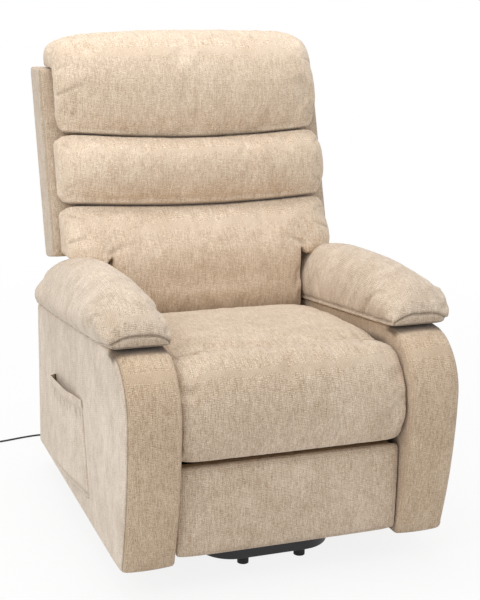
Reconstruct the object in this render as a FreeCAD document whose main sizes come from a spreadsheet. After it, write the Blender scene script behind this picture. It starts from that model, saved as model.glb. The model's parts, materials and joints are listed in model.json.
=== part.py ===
import FreeCAD, Part
import os
from math import acos, atan2, cos, degrees, hypot, pi, radians, sin, sqrt, tan
from types import SimpleNamespace

import Sketcher

# Lift recliner chair, in millimetres. +X is to the sitter's left, +Y to the back and +Z up.
# The origin lies on the floor, under the middle of the chair's overall width and depth.
# Depths are counted backwards from the line where the arms' fronts meet their bottom edge.

Vector = FreeCAD.Vector
Rotation = FreeCAD.Rotation
Placement = FreeCAD.Placement

# Driving sizes: name, value, what it measures
SIZES = [
    ("front_line", 412.265, "from the origin forward to the foot of the arm fronts"),
    ("half_width", 365, "centre line to the arms' outer faces"),
    ("arm_width", 114, "width of one arm"),
    ("arm_depth", 788, "arm from its front foot to its rear edge"),
    ("arm_bottom", 60, "arms' bottom edge above the floor"),
    ("arm_bulge", 45, "how far the arm's front leans out"),
    ("arm_bulge_height", 380, "height of the arm's foremost point"),
    ("arm_top_front", 512, "top of the arm where its pad begins"),
    ("arm_top_rear", 428, "top of the arm at its rear edge"),
    ("arm_rounding", 16, "rounding of the arm's long edges"),
    ("soft_gap", 0.3, "gap between soft pieces and what they lie against"),
    ("pad_overhang_out", 23, "arm pad beyond the arm's outer face"),
    ("pad_overhang_in", 11, "arm pad beyond the arm's inner face"),
    ("pad_front", 62, "depth where the arm pad's lower seam starts"),
    ("board_wood", 18, "thickness of the plywood boards"),
    ("arm_frame_low", 92, "lowest edge of the frame board in each arm"),
    ("arm_frame_high", 400, "highest edge of the frame board in each arm"),
    ("arm_frame_front", 32, "front edge of the frame board in each arm"),
    ("arm_frame_rear", 752, "rear edge of the frame board in each arm"),
    ("plate", 4, "thickness of the mechanism's steel plates and links"),
    ("layer_gap", 0.5, "gap between neighbouring layers of links"),
    ("pin", 5, "radius of the mechanism's rivets"),
    ("bore_play", 0.06, "radial play of a pin in its bore"),
    ("link_half", 11, "half width of a footrest link"),
    ("lift_bar", 6, "thickness of a lift link"),
    ("base_half_front", 75, "half length of the base tube's straight front"),
    ("base_front", 80, "depth of the base tube's front face"),
    ("base_bend", 75, "outer radius of the base tube's front bends"),
    ("base_rear", 735, "depth of the rear base tube's centre line"),
    ("base_half_rear", 262, "half length of the rear base tube"),
    ("tube", 30, "outside size of the square base tubes"),
    ("tube_wall", 2, "wall of the square tubes"),
    ("foot_height", 14, "height of the rubber feet"),
    ("foot_radius", 12.5, "radius of the rubber feet"),
    ("foot_offset", 66, "front feet from the centre line"),
    ("rear_foot_offset", 235, "rear feet from the centre line"),
    ("lift_axis_depth", 150, "front lift link's axis on the base"),
    ("lift_axis_height", 75, "height of both lift axes on the base"),
    ("lift_head_depth", 340, "front lift link's upper pin"),
    ("lift_head_height", 150, "height of that pin"),
    ("rear_head_offset", 280, "rear lift link's upper pin behind the front one"),
    ("rear_head_rise", 20, "and above it"),
    ("lift_tube", 12, "radius of the lift torque tube"),
    ("stub", 6, "radius of the lift links' pins"),
    ("rear_eye_play", 8.5, "radial room round the rear links' upper pins"),
    ("ear_outer", 223.5, "outer face of the base's ear plates"),
    ("seat_frame_low", 290, "underside of the seat frame"),
    ("seat_frame_high", 335, "top of the seat frame"),
    ("seat_frame_front", 62, "front of the seat frame"),
    ("seat_frame_rear", 500, "rear of the seat frame"),
    ("seat_frame_rail", 26, "thickness of the seat frame's rails"),
    ("seat_frame_half", 240, "half width of the seat frame"),
    ("spring_wire", 1.9, "radius of the seat springs' wire"),
    ("seat_side_gap", 1, "gap between the seat cushion and the arms"),
    ("seat_front_top", 488, "seat cushion's height at its front seam"),
    ("seat_rear_top", 466, "seat cushion's height at the back"),
    ("seat_crown", 14, "crown of the seat cushion"),
    ("seam_depth", 88, "depth of the seam between seat and bolster"),
    ("bolster_side_gap", 1, "gap between the bolster and the arms"),
    ("bolster_front", 38, "how far the bolster bulges out"),
    ("bolster_low", 287, "bolster's lower front corner"),
    ("bolster_fall", 11, "how far its underside falls from there to the seat frame"),
    ("cross_tube", 25, "outside size of the chair's square cross tubes"),
    ("front_cross_depth", 122, "centre of the front cross tube"),
    ("rear_cross_depth", 412, "centre of the rear cross tube"),
    ("rear_rail_inset", 28, "front face of the wooden rail ahead of the arms' rear edges"),
    ("rear_rail_low", 72, "underside of that rail"),
    ("rear_rail_height", 88, "height of that rail"),
    ("recline_axis_depth", 625, "back's hinge"),
    ("recline_axis_height", 430, "back's hinge"),
    ("recline_tube", 12, "radius of the back's torque tube"),
    ("hinge_rim", 13, "mechanism plate above the back's hinge pin"),
    ("hinge_boss", 14, "radius of the back brackets' bosses"),
    ("hinge_bracket_width", 46, "width of a back bracket's arm"),
    ("hinge_bracket_length", 140, "length of a back bracket's arm"),
    ("footrest_axis_depth", 166.8, "footrest links' axis on the chair"),
    ("footrest_axis_height", 213.6, "footrest links' axis on the chair"),
    ("footrest_tube", 11, "radius of the footrest torque tube"),
    ("footrest_link", 180.6, "footrest link between its pins"),
    ("footrest_head_depth", 40, "pin on the footrest's bracket"),
    ("footrest_head_height", 252, "pin on the footrest's bracket"),
    ("footrest_reach", 205, "how far that pin travels forward"),
    ("footrest_rise", 60, "how far that pin travels up"),
    ("footrest_low", 76, "bottom edge of the footrest"),
    ("footrest_high", 272, "top edge of the footrest"),
    ("footrest_back", 32, "depth of the footrest board's back"),
    ("footrest_front", 6, "how far the footrest pad stands out in front"),
    ("footrest_half", 249.5, "half width of the footrest pad"),
    ("back_plane_depth", 581, "front plane of the back at the hinge's height"),
    ("back_lean", 18.5, "how far the back leans, in degrees"),
    ("back_half", 356, "half width of the upholstered back"),
    ("back_half_low", 234, "half width of the back between the arms"),
    ("back_thickness", 96, "thickness of the upholstered back"),
    ("back_top", 604, "front top edge of the back along its slope"),
    ("back_top_rise", 32, "rise of the top from its front to its rear edge"),
    ("wing_low", 155, "wings' lower front edge along the slope"),
    ("wing_rise", 11, "rise of the wings' lower face from front to rear"),
    ("back_low", -35, "lowest edge of the back along the slope"),
    ("back_frame_rail", 45, "width of that frame's rails"),
    ("back_frame_half", 234, "half width of the back's inner frame"),
    ("back_frame_high", 596, "upper end of the back's inner frame"),
    ("back_frame_wood", 28, "thickness of the back's inner frame"),
    ("seam_low", 275, "seam between lower and middle cushion"),
    ("seam_high", 444, "seam between middle and head cushion"),
    ("cushion_top", 697, "top of the head cushion"),
    ("cushion_half", 340, "half width of the middle cushion"),
    ("head_half", 334, "half width of the head cushion"),
    ("low_half", 237, "half width of the lower cushion between the arm pads"),
    ("seam_dip", 12, "how far the seams between back cushions sag in their middle"),
    ("seam_thickness", 58, "back cushions at their seams"),
    ("cushion_bulge", 108, "back cushions at their fullest"),
    ("crank_lift", 85, "length of the lift crank"),
    ("crank_footrest", 75, "length of the footrest crank"),
    ("crank_back", 200, "length of the back's crank"),
    ("eye_width", 20, "width of the actuators' eyes"),
    ("motor_eye", 11, "radius of the actuators' eyes"),
    ("motor_tube", 16, "radius of the actuators' outer tubes"),
    ("motor_rod", 9, "radius of the actuators' rods"),
    ("motor_width", 74, "width of the motor casings"),
    ("motor_height", 74, "height of the motor casings"),
    ("motor_length", 92, "length of the motor casings"),
    ("side_motor_offset", 100, "footrest and back actuators from the centre line"),
    ("pocket_wall", 2.4, "thickness of the side pocket's fabric"),
    ("pocket_lean", 60, "how far the pocket leans back from bottom to top"),
    ("pocket_fall", 21, "how far its bottom and its hem fall from front to rear"),
    ("pocket_low", 110, "bottom of the side pocket"),
    ("pocket_high", 318, "top of the side pocket"),
    ("pocket_front", 249, "front edge of the side pocket"),
    ("pocket_rear", 514, "rear edge of the side pocket"),
    ("pocket_bulge", 20, "how far the side pocket stands out in its middle"),
    ("pocket_return", 14, "width of the pocket's turned-in side edges"),
    ("handset_width", 52, "width of the handset"),
    ("handset_height", 142, "height of the handset"),
    ("handset_thickness", 13, "thickness of the handset"),
    ("button", 9, "radius of the handset's buttons"),
    ("button_travel", 1, "how far a button goes in"),
    ("supply_width", 92, "width of the power supply"),
    ("supply_depth", 58, "depth of the power supply"),
    ("supply_height", 40, "height of the power supply"),
    ("cord", 2.5, "radius of the mains cord"),
]

# Motions: travels that are not lengths
LIFT_SWING = 73.5
LIFT_TILT = 26.0
RECLINE_TILT = 33.0
LIFT_CRANK_ANGLE = 20.0
FOOTREST_CRANK_ANGLE = 298.0
BACK_CRANK_ANGLE = 270.0

# Actuators: least length of rod outside the tube, and least length that stays inside
ROD_SHOWING = 46.0
ROD_OVERLAP = 30.0

# Cranks: the slot's reach as a share of the pin's stray, its play, the steel round it, the steel round
# the torque tube, and the gap from a cheek to the rod's eye
SLOT_REACH = 1.06
SLOT_PLAY = 0.7
SLOT_RIM = 5.0
HUB_RIM = 7.0
CHEEK_GAP = 1.0

# Actuator brackets: from the pin to the middle of the tube that carries them
BRACKET_REACH = 62.0
BRACKET_RISE = 46.0

doc = FreeCAD.newDocument("lift_recliner")
sheet = doc.addObject("Spreadsheet::Sheet", "sizes")


class Size:
    """A length that knows its number and the sheet's expression for it."""

    def __init__(self, number, text):
        self.number = number
        self.text = text

    def joined(self, other, sign, number):
        return Size(number, "(%s %s %s)" % (self.text, sign, sized(other).text))

    def __add__(self, other):
        return self.joined(other, "+", self.number + sized(other).number)

    def __sub__(self, other):
        return self.joined(other, "-", self.number - sized(other).number)

    def __mul__(self, factor):
        return self.joined(factor, "*", self.number * sized(factor).number)

    def __neg__(self):
        return Size(-self.number, "(0 - %s)" % self.text)


def sized(value):
    return value if isinstance(value, Size) else Size(float(value), repr(round(float(value), 6)))


def fill_sheet():
    found = SimpleNamespace()
    for row, (name, number, meaning) in enumerate(SIZES, start=1):
        sheet.set("A%d" % row, str(number))
        sheet.setAlias("A%d" % row, name)
        sheet.set("B%d" % row, meaning)
    doc.recompute()
    for name, number, meaning in SIZES:
        setattr(found, name, Size(float(sheet.get(name)), "sizes." + name))
    return found


S = fill_sheet()
NODES = []


def depth(value):
    """Y of a depth counted backwards from the foot of the arm fronts."""
    return sized(value) - S.front_line


def bind(thing, prop, size):
    thing.setExpression(prop, sized(size).text)


def place(thing, spot, rotation=None):
    """Put an object at a spot whose three coordinates may be sizes."""
    numbers = [sized(value).number for value in spot]
    thing.Placement = Placement(Vector(*numbers), rotation or Rotation())
    for axis, value in zip("xyz", spot):
        bind(thing, "Placement.Base." + axis, value)


def node(thing, label):
    """Mark an object as one of the chair's pieces."""
    thing.Label = label
    NODES.append(thing)
    return thing


def block(name, extent, spot):
    box = doc.addObject("Part::Box", name)
    for prop, size in zip(("Length", "Width", "Height"), extent):
        bind(box, prop, size)
    place(box, spot)
    return box


ALONG_X = Rotation(Vector(0, 1, 0), 90)
ALONG_Y = Rotation(Vector(1, 0, 0), -90)
UPRIGHT = Rotation()


def round_bar(name, radius, length, spot, rotation=ALONG_X):
    bar = doc.addObject("Part::Cylinder", name)
    bind(bar, "Radius", radius)
    bind(bar, "Height", length)
    place(bar, spot, rotation)
    return bar


def hollow_bar(name, radius, length, spot):
    """A round tube along X."""
    outside = round_bar(name + "_outside", radius, length, spot)
    inside = round_bar(name + "_inside", radius - S.tube_wall, length, spot)
    return cut(name, outside, inside)


def square_tube(name, size, length, spot):
    """A square tube along X, from the spot of its lower front corner."""
    outside = block(name + "_outside", (length, size, size), spot)
    inner = size - S.tube_wall * 2
    inside_spot = (spot[0], spot[1] + S.tube_wall, spot[2] + S.tube_wall)
    inside = block(name + "_inside", (length, inner, inner), inside_spot)
    return cut(name, outside, inside)


def joined(name, pieces):
    union = doc.addObject("Part::MultiFuse", name)
    union.Shapes = pieces
    return union


def grouped(name, pieces):
    group = doc.addObject("Part::Compound", name)
    group.Links = pieces
    return group


def cut(name, base, tool):
    rest = doc.addObject("Part::Cut", name)
    rest.Base = base
    rest.Tool = tool
    return rest


def solid(name, shape, placement=None):
    """A piece whose form neither sketches nor primitives give."""
    feature = doc.addObject("Part::Feature", name)
    feature.Shape = shape
    if placement:
        feature.Placement = placement
    return feature


def origin_plane(body, role):
    return next(plane for plane in body.Origin.OriginFeatures if plane.Role == role)


def new_sketch(body, role):
    sketch = body.newObject("Sketcher::SketchObject", body.Name + "_outline")
    sketch.AttachmentSupport = [(origin_plane(body, role), "")]
    sketch.MapMode = "FlatFace"
    return sketch


def pin_down(sketch, geometry, position, spot):
    """Tie a sketch point to the origin by two sizes."""
    for kind, size in zip(("DistanceX", "DistanceY"), spot):
        index = sketch.addConstraint(Sketcher.Constraint(kind, -1, 1, geometry, position, sized(size).number))
        bind(sketch, "Constraints[%d]" % index, size)


def add_bore(sketch, centre, radius):
    spot = Vector(sized(centre[0]).number, sized(centre[1]).number, 0)
    circle = sketch.addGeometry(Part.Circle(spot, Vector(0, 0, 1), sized(radius).number))
    pin_down(sketch, circle, 3, centre)
    index = sketch.addConstraint(Sketcher.Constraint("Radius", circle, sized(radius).number))
    bind(sketch, "Constraints[%d]" % index, radius)


def add_outline(sketch, corners):
    points = [Vector(sized(a).number, sized(b).number, 0) for a, b in corners]
    first = sketch.GeometryCount
    count = len(points)
    for index, point in enumerate(points):
        sketch.addGeometry(Part.LineSegment(point, points[(index + 1) % count]))
    for index in range(count):
        following = first + (index + 1) % count
        sketch.addConstraint(Sketcher.Constraint("Coincident", first + index, 2, following, 1))
        pin_down(sketch, first + index, 1, corners[index])


def plate_body(name, role, corners, thickness, spot, bores=(), windows=(), rotation=None):
    """A flat plate with straight edges, round bores and straight-sided windows."""
    body = doc.addObject("PartDesign::Body", name)
    sketch = new_sketch(body, role)
    add_outline(sketch, corners)
    for window in windows:
        add_outline(sketch, window)
    for centre, radius in bores:
        add_bore(sketch, centre, radius)
    pad = body.newObject("PartDesign::Pad", name + "_pad")
    pad.Profile = sketch
    bind(pad, "Length", thickness)
    place(body, spot, rotation)
    sketch.Visibility = False
    return body


def bar_body(name, length, half, thickness, spot, angle, bores):
    """A flat link with round ends, from its first pin towards its second."""
    body = doc.addObject("PartDesign::Body", name)
    sketch = new_sketch(body, "YZ_Plane")
    far = sized(length).number
    wide = sized(half).number
    near_circle = Part.Circle(Vector(), Vector(0, 0, 1), wide)
    far_circle = Part.Circle(Vector(far, 0, 0), Vector(0, 0, 1), wide)
    near_end = sketch.addGeometry(Part.ArcOfCircle(near_circle, pi / 2, 3 * pi / 2))
    far_end = sketch.addGeometry(Part.ArcOfCircle(far_circle, -pi / 2, pi / 2))
    low = sketch.addGeometry(Part.LineSegment(Vector(0, -wide, 0), Vector(far, -wide, 0)))
    high = sketch.addGeometry(Part.LineSegment(Vector(far, wide, 0), Vector(0, wide, 0)))
    for one, end, other, start in ((near_end, 2, low, 1), (low, 2, far_end, 1), (far_end, 2, high, 1),
                                   (high, 2, near_end, 1)):
        sketch.addConstraint(Sketcher.Constraint("Tangent", one, end, other, start))
    sketch.addConstraint(Sketcher.Constraint("Coincident", near_end, 3, -1, 1))
    pin_down(sketch, far_end, 3, (length, 0))
    index = sketch.addConstraint(Sketcher.Constraint("Radius", near_end, wide))
    bind(sketch, "Constraints[%d]" % index, half)
    for along, radius in bores:
        add_bore(sketch, (along, 0), radius)
    pad = body.newObject("PartDesign::Pad", name + "_pad")
    pad.Profile = sketch
    bind(pad, "Length", thickness)
    place(body, spot, Rotation(Vector(1, 0, 0), angle))
    sketch.Visibility = False
    return body


# Points in the side view, as (depth, height) pairs of plain numbers


def turned(offset, angle):
    turn = radians(angle)
    return (offset[0] * cos(turn) - offset[1] * sin(turn), offset[0] * sin(turn) + offset[1] * cos(turn))


def moved(point, offset, scale=1.0):
    return (point[0] + offset[0] * scale, point[1] + offset[1] * scale)


def between(start, end):
    return (end[0] - start[0], end[1] - start[1])


def heading(start, end):
    step = between(start, end)
    return degrees(atan2(step[1], step[0]))


def distance(start, end):
    step = between(start, end)
    return hypot(step[0], step[1])


def lift_linkage():
    """Pins of the lift's four-bar linkage, seated and lifted."""
    axis = (S.lift_axis_depth.number, S.lift_axis_height.number)
    head = (S.lift_head_depth.number, S.lift_head_height.number)
    offset = (S.rear_head_offset.number, S.rear_head_rise.number)
    rear_head = moved(head, offset)
    head_up = moved(axis, turned(between(axis, head), LIFT_SWING))
    rear_head_up = moved(head_up, turned(offset, LIFT_TILT))
    middle = moved(rear_head, between(rear_head, rear_head_up), 0.5)
    step = between(rear_head, rear_head_up)
    square = (step[1], -step[0])
    down = (axis[1] - middle[1]) / square[1]
    rear_axis = moved(middle, square, down)
    swing = heading(rear_axis, rear_head_up) - heading(rear_axis, rear_head)
    return SimpleNamespace(axis=axis, head=head, rear_axis=rear_axis, rear_head=rear_head, rear_swing=swing)


def footrest_linkage():
    """Pins of the footrest links, closed, and how far the first link turns."""
    head = (S.footrest_head_depth.number, S.footrest_head_height.number)
    travel = (-S.footrest_reach.number, S.footrest_rise.number)
    axis = (S.footrest_axis_depth.number, S.footrest_axis_height.number)
    length = S.footrest_link.number
    closed = degrees(acos(distance(axis, head) / (2 * length)))
    line = heading(axis, head)
    knee = moved(axis, turned((length, 0), line + closed))
    opened = moved(head, travel)
    open_angle = degrees(acos(distance(axis, opened) / (2 * length)))
    turn = (heading(axis, opened) + open_angle) - (line + closed)
    return SimpleNamespace(axis=axis, knee=knee, head=head, turn=turn)


def stray_of(mount, axis, crank, swing, share):
    """Where a rod that turns and slides at steady rates leaves its crank's pin, in the crank's frame."""
    far = moved(axis, turned(between(axis, crank), swing))
    near_angle = heading(mount, crank) % 360
    angle = near_angle + share * (heading(mount, far) % 360 - near_angle)
    near_length = distance(mount, crank)
    length = near_length + share * (distance(mount, far) - near_length)
    tip = moved(mount, turned((length, 0), angle))
    pin = moved(axis, turned(between(axis, crank), swing * share))
    return turned(between(pin, tip), -swing * share)


def slot_of(mount, axis, crank, swing):
    """Reach of the slot in a crank, and how far the rod's pin strays to its sides over the travel."""
    strays = [stray_of(mount, axis, crank, swing, step / 20) for step in range(21)]
    reach = max(strays, key=lambda stray: hypot(*stray))
    way = heading((0, 0), reach)
    return reach, max(abs(turned(stray, -way)[1]) for stray in strays)


LIFT = lift_linkage()
FOOT = footrest_linkage()
RECLINE_AXIS = (S.recline_axis_depth.number, S.recline_axis_height.number)
LIFT_MOUNT = (690.0, 62.0)
FOOT_MOUNT = (615.0, 175.0)
BACK_MOUNT = (252.0, 208.0)
LIFT_CRANK = moved(LIFT.axis, turned((S.crank_lift.number, 0), LIFT_CRANK_ANGLE))
FOOT_CRANK = moved(FOOT.axis, turned((S.crank_footrest.number, 0), FOOTREST_CRANK_ANGLE))
BACK_CRANK = moved(RECLINE_AXIS, turned((S.crank_back.number, 0), BACK_CRANK_ANGLE))


# Faces of the layers of plates and links, counted from the arm's inner face towards the middle

arm_face = S.half_width - S.arm_width
plate_in = arm_face - S.plate
inner_link_in = plate_in - S.layer_gap - S.plate
outer_link_in = inner_link_in - S.layer_gap - S.plate
bracket_in = outer_link_in - S.layer_gap - S.plate


def both_sides(label, make, thickness, inner):
    """A node of two like pieces: make(name, x) builds one from the X of its lower face."""
    pair = [make(label + "_a", inner), make(label + "_b", -(inner + thickness))]
    return node(grouped(label, pair), label)


def stadium(start, end, radius, low_x, high_x):
    """A bar with round ends between two points of the side view, as a plain shape."""
    shift = S.front_line.number
    width = high_x - low_x
    across = Vector(1, 0, 0)
    spots = [Vector(low_x, point[0] - shift, point[1]) for point in (start, end)]
    ends = [Part.makeCylinder(radius, width, spot, across) for spot in spots]
    length = distance(start, end)
    if length < 0.01:
        return ends[0]
    web = Part.makeBox(width, length, 2 * radius, Vector(0, 0, -radius))
    web.Placement = Placement(Vector(low_x, start[0] - shift, start[1]),
                              Rotation(Vector(1, 0, 0), heading(start, end)))
    return ends[0].fuse([web, ends[1]]).removeSplitter()


def closed_wire(edges):
    return Part.Wire([edge.toShape() for edge in edges])


def arc(start, middle, end):
    return Part.Arc(Vector(*start), Vector(*middle), Vector(*end))


def line(start, end):
    return Part.LineSegment(Vector(*start), Vector(*end))


# Base: tubes, feet, ears and the motor's bracket


def make_base():
    """Bent front tube with its rails, a rear tube, the feet and the ears of the lift links."""
    low = S.foot_height
    splay = S.base_half_rear.number - 2 * S.tube.number
    shift = S.front_line.number
    bend = S.base_bend.number
    size = S.tube.number
    front = S.base_front.number
    centre_x = S.base_half_front.number
    rear_face = S.base_rear.number - size / 2
    run = rear_face - front - bend
    # The rail leaves the bend tangent to it, so the bend stops short of a quarter by the rail's splay
    side = centre_x + bend
    lean = 0.0
    for _ in range(6):
        side = centre_x + bend * cos(lean)
        lean = atan2(splay - side, run + bend * sin(lean))
    outer_points = []
    for sign in (1, -1):
        corner = (sign * centre_x, front + bend)
        for radius in (bend, bend - size):
            start = (corner[0], corner[1] - radius)
            middle_turn = (pi / 2 - lean) / 2
            middle = (corner[0] + sign * radius * sin(middle_turn), corner[1] - radius * cos(middle_turn))
            last_turn = pi / 2 - lean
            last = (corner[0] + sign * radius * sin(last_turn), corner[1] - radius * cos(last_turn))
            reach = (rear_face - last[1]) * tan(lean)
            end = (last[0] + sign * reach, rear_face)
            outer_points.append((start, middle, last, end))
    right_out, right_in, left_out, left_in = outer_points

    def up(point):
        return (point[0], point[1] - shift, low.number)

    loop = []
    for side_points in (right_out, right_in[::-1], left_in, left_out[::-1]):
        loop += [up(point) for point in side_points]
    edges = []
    for index in range(0, len(loop), 4):
        one, two, three, four = loop[index:index + 4]
        bend_first = index % 8 == 0
        edges.append(arc(one, two, three) if bend_first else line(one, two))
        edges.append(line(three, four) if bend_first else arc(two, three, four))
        edges.append(line(four, loop[(index + 4) % len(loop)]))
    tube = Part.Face(closed_wire(edges)).extrude(Vector(0, 0, size))
    level_edges = [edge for edge in tube.Edges if edge.BoundBox.ZLength < 0.01]
    long_edges = [edge for edge in level_edges if edge.BoundBox.YMin < rear_face - shift - 1]
    node(solid("base_tube", tube.makeFillet(size * 0.12, long_edges)), "base_tube")

    rear_spot = (-S.base_half_rear, depth(S.base_rear - S.tube * 0.5), low)
    node(square_tube("base_rear_tube", S.tube, S.base_half_rear * 2, rear_spot), "base_rear_tube")

    feet = []
    spots = ((S.foot_offset, S.base_front + S.tube * 0.5), (S.rear_foot_offset, S.base_rear))
    for place_name, (offset, back) in zip(("front", "rear"), spots):
        for side_name, x in (("left", offset), ("right", -offset)):
            name = "foot_%s_%s" % (place_name, side_name)
            feet.append(round_bar(name, S.foot_radius, S.foot_height, (x, depth(back), 0), UPRIGHT))
    node(grouped("base_feet", feet), "base_feet")

    ear_in = S.ear_outer - S.plate
    beam_depth = (LIFT.axis[0] + LIFT.rear_axis[0]) / 2
    beam_spot = (-ear_in, depth(beam_depth) - S.cross_tube * 0.5, S.foot_height + S.tube)
    node(square_tube("base_link_beam", S.cross_tube, ear_in * 2, beam_spot), "base_link_beam")

    axis_z = S.lift_axis_height
    rim = S.lift_tube + 10
    near = depth(S.lift_axis_depth)
    far = depth(LIFT.rear_axis[0])
    corners = [(near - rim, axis_z - rim + 4), (far + rim, axis_z - rim + 4), (far + rim, axis_z + 12),
               (far, axis_z + rim), (near, axis_z + rim), (near - rim, axis_z + 12)]
    bores = [((near, axis_z), S.lift_tube + S.bore_play), ((far, axis_z), S.stub)]

    def ear(name, x):
        return plate_body(name, "YZ_Plane", corners, S.plate, (x, 0, 0), bores)

    both_sides("base_ears", ear, S.plate, ear_in)
    pins = []
    reach = S.plate + S.lift_bar + S.layer_gap * 2 + 1
    for name, x in (("left", ear_in), ("right", -(ear_in + reach))):
        pins.append(round_bar("rear_axis_pin_" + name, S.stub, reach, (x, depth(LIFT.rear_axis[0]), axis_z)))
    node(grouped("base_link_pins", pins), "base_link_pins")


def eye_bracket(label, mount, x, foot_low, foot_high):
    """Two ears and a pin that carry an actuator's eye; the ears stand on a tube's face."""
    pin = S.pin.number
    wide = S.motor_eye.number
    thick = S.plate.number
    gap = S.eye_width.number + 1
    parts = []
    for low_x in (x - gap / 2 - thick, x + gap / 2):
        ear = stadium(mount, mount, wide, low_x, low_x + thick)
        web = stadium_plate(mount, foot_low, foot_high, wide, low_x, low_x + thick)
        parts.append(ear.fuse(web))
    shift = S.front_line.number
    axle = Part.makeCylinder(pin, gap + 2 * thick, Vector(x - gap / 2 - thick, mount[0] - shift, mount[1]),
                             Vector(1, 0, 0))
    whole = parts[0].fuse([parts[1], axle]).removeSplitter()
    return node(solid(label, whole), label)


def stadium_plate(mount, foot_low, foot_high, wide, low_x, high_x):
    """A four-sided web from a round ear to a straight foot."""
    shift = S.front_line.number
    toward = moved(between(mount, foot_low), between(mount, foot_high))
    square = turned((wide * 0.98, 0), degrees(atan2(toward[1], toward[0])) + 90)
    corners = [moved(mount, square), moved(mount, square, -1), foot_low, foot_high]
    if distance(corners[1], foot_low) > distance(corners[1], foot_high):
        corners = [corners[0], corners[1], foot_high, foot_low]
    points = [Vector(low_x, p[0] - shift, p[1]) for p in corners]
    face = Part.Face(Part.makePolygon(points + [points[0]]))
    return face.extrude(Vector(high_x - low_x, 0, 0))


# Actuators: a gear motor with its outer tube, and a rod with its eye and pin


def make_actuator(label, mount, crank, x, stroke):
    """One linear actuator between its bracket pin and the crank pin."""
    length = distance(mount, crank)
    eye_width = S.eye_width.number
    tube_end = length + min(stroke, 0.0) - ROD_SHOWING
    frame = Placement(Vector(x, mount[0] - S.front_line.number, mount[1]),
                      Rotation(Vector(1, 0, 0), heading(mount, crank)))
    eye = S.motor_eye.number
    wide = S.motor_width.number
    tall = S.motor_height.number
    long = S.motor_length.number
    along = Vector(0, 1, 0)
    across = Vector(1, 0, 0)
    play = S.bore_play.number
    start = eye + 6
    casing = Part.makeBox(wide, long, tall, Vector(-wide / 2, start, -tall * 0.62))
    casing = casing.makeFillet(9, casing.Edges)
    neck = Part.makeBox(eye_width, start + 4, 2 * eye * 0.9, Vector(-eye_width / 2, 0, -eye * 0.9))
    ring = Part.makeCylinder(eye, eye_width, Vector(-eye_width / 2, 0, 0), across)
    tube_start = start + long - 4
    outer = Part.makeCylinder(S.motor_tube.number, tube_end - tube_start, Vector(0, tube_start, 0), along)
    collar = Part.makeCylinder(S.motor_tube.number + 4, 16, Vector(0, tube_start, 0), along)
    whole = casing.fuse([neck, ring, outer, collar])
    bore = Part.makeCylinder(S.motor_rod.number + play, tube_end, Vector(0, start + long * 0.6, 0), along)
    hole = Part.makeCylinder(S.pin.number + play, eye_width + 2, Vector(-eye_width / 2 - 1, 0, 0), across)
    whole = whole.cut(bore.fuse(hole)).removeSplitter()
    node(solid(label + "_motor", whole, frame), label + "_motor")

    rod_start = tube_end - ROD_OVERLAP - max(stroke, 0)
    rod = Part.makeCylinder(S.motor_rod.number, length - rod_start - 4, Vector(0, rod_start, 0), along)
    rod_eye = Part.makeCylinder(eye, eye_width, Vector(-eye_width / 2, length, 0), across)
    pin_length = eye_width + 2 * (1 + S.plate.number) + 2
    pin = Part.makeCylinder(S.pin.number, pin_length, Vector(-pin_length / 2, length, 0), across)
    rod_piece = rod.fuse([rod_eye, pin]).removeSplitter()
    node(solid(label + "_rod", rod_piece, frame), label + "_rod")


def make_crank(label, hub, hub_radius, crank, slot_sizes, x):
    """Two cheeks on a torque tube, slotted for the rod's pin, which is the linkage's open pivot."""
    thick = S.plate.number
    reach, sideways = slot_sizes
    slot_end = moved(crank, reach, SLOT_REACH)
    slot_half = S.pin.number + sideways + SLOT_PLAY
    half = slot_half + SLOT_RIM
    offset = S.eye_width.number / 2 + CHEEK_GAP
    cheeks = []
    for low_x in (x - offset - thick, x + offset):
        high_x = low_x + thick
        arm = stadium(hub, crank, half, low_x, high_x)
        boss = stadium(hub, hub, hub_radius + HUB_RIM, low_x, high_x)
        head = stadium(crank, slot_end, half, low_x, high_x)
        slot = stadium(crank, slot_end, slot_half, low_x - 1, high_x + 1)
        hole = stadium(hub, hub, hub_radius, low_x - 1, high_x + 1)
        cheeks.append(arm.fuse([boss, head]).cut(slot.fuse(hole)).removeSplitter())
    node(solid(label, Part.makeCompound(cheeks)), label)


def make_lift_links():
    """Front links on their torque tube with the lift crank, and the rear links."""
    inner = S.ear_outer + S.layer_gap
    length = distance(LIFT.axis, LIFT.head)
    rear_length = distance(LIFT.rear_axis, LIFT.rear_head)
    eye = S.stub + S.rear_eye_play

    def front_link(name, x):
        spot = (x, depth(S.lift_axis_depth), S.lift_axis_height)
        bores = ((0, S.lift_tube), (length, S.stub + S.bore_play))
        return bar_body(name, length, S.lift_tube + 7, S.lift_bar, spot, heading(LIFT.axis, LIFT.head), bores)

    def rear_link(name, x):
        spot = (x, depth(LIFT.rear_axis[0]), S.lift_axis_height)
        bores = ((0, S.stub + S.bore_play), (rear_length, eye))
        angle = heading(LIFT.rear_axis, LIFT.rear_head)
        return bar_body(name, rear_length, eye + 6, S.lift_bar, spot, angle, bores)

    both_sides("front_lift_links", front_link, S.lift_bar, inner)
    both_sides("rear_lift_links", rear_link, S.lift_bar, inner)
    reach = inner + S.lift_bar
    spot = (-reach, depth(S.lift_axis_depth), S.lift_axis_height)
    node(hollow_bar("lift_torque_tube", S.lift_tube, reach * 2, spot), "lift_torque_tube")
    slot = slot_of(LIFT_MOUNT, LIFT.axis, LIFT_CRANK, LIFT_SWING)
    make_crank("lift_crank", LIFT.axis, S.lift_tube.number, LIFT_CRANK, slot, 0.0)


# Lifted chair: mechanism plates, cross tubes, seat frame, springs, arms and pads


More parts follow.
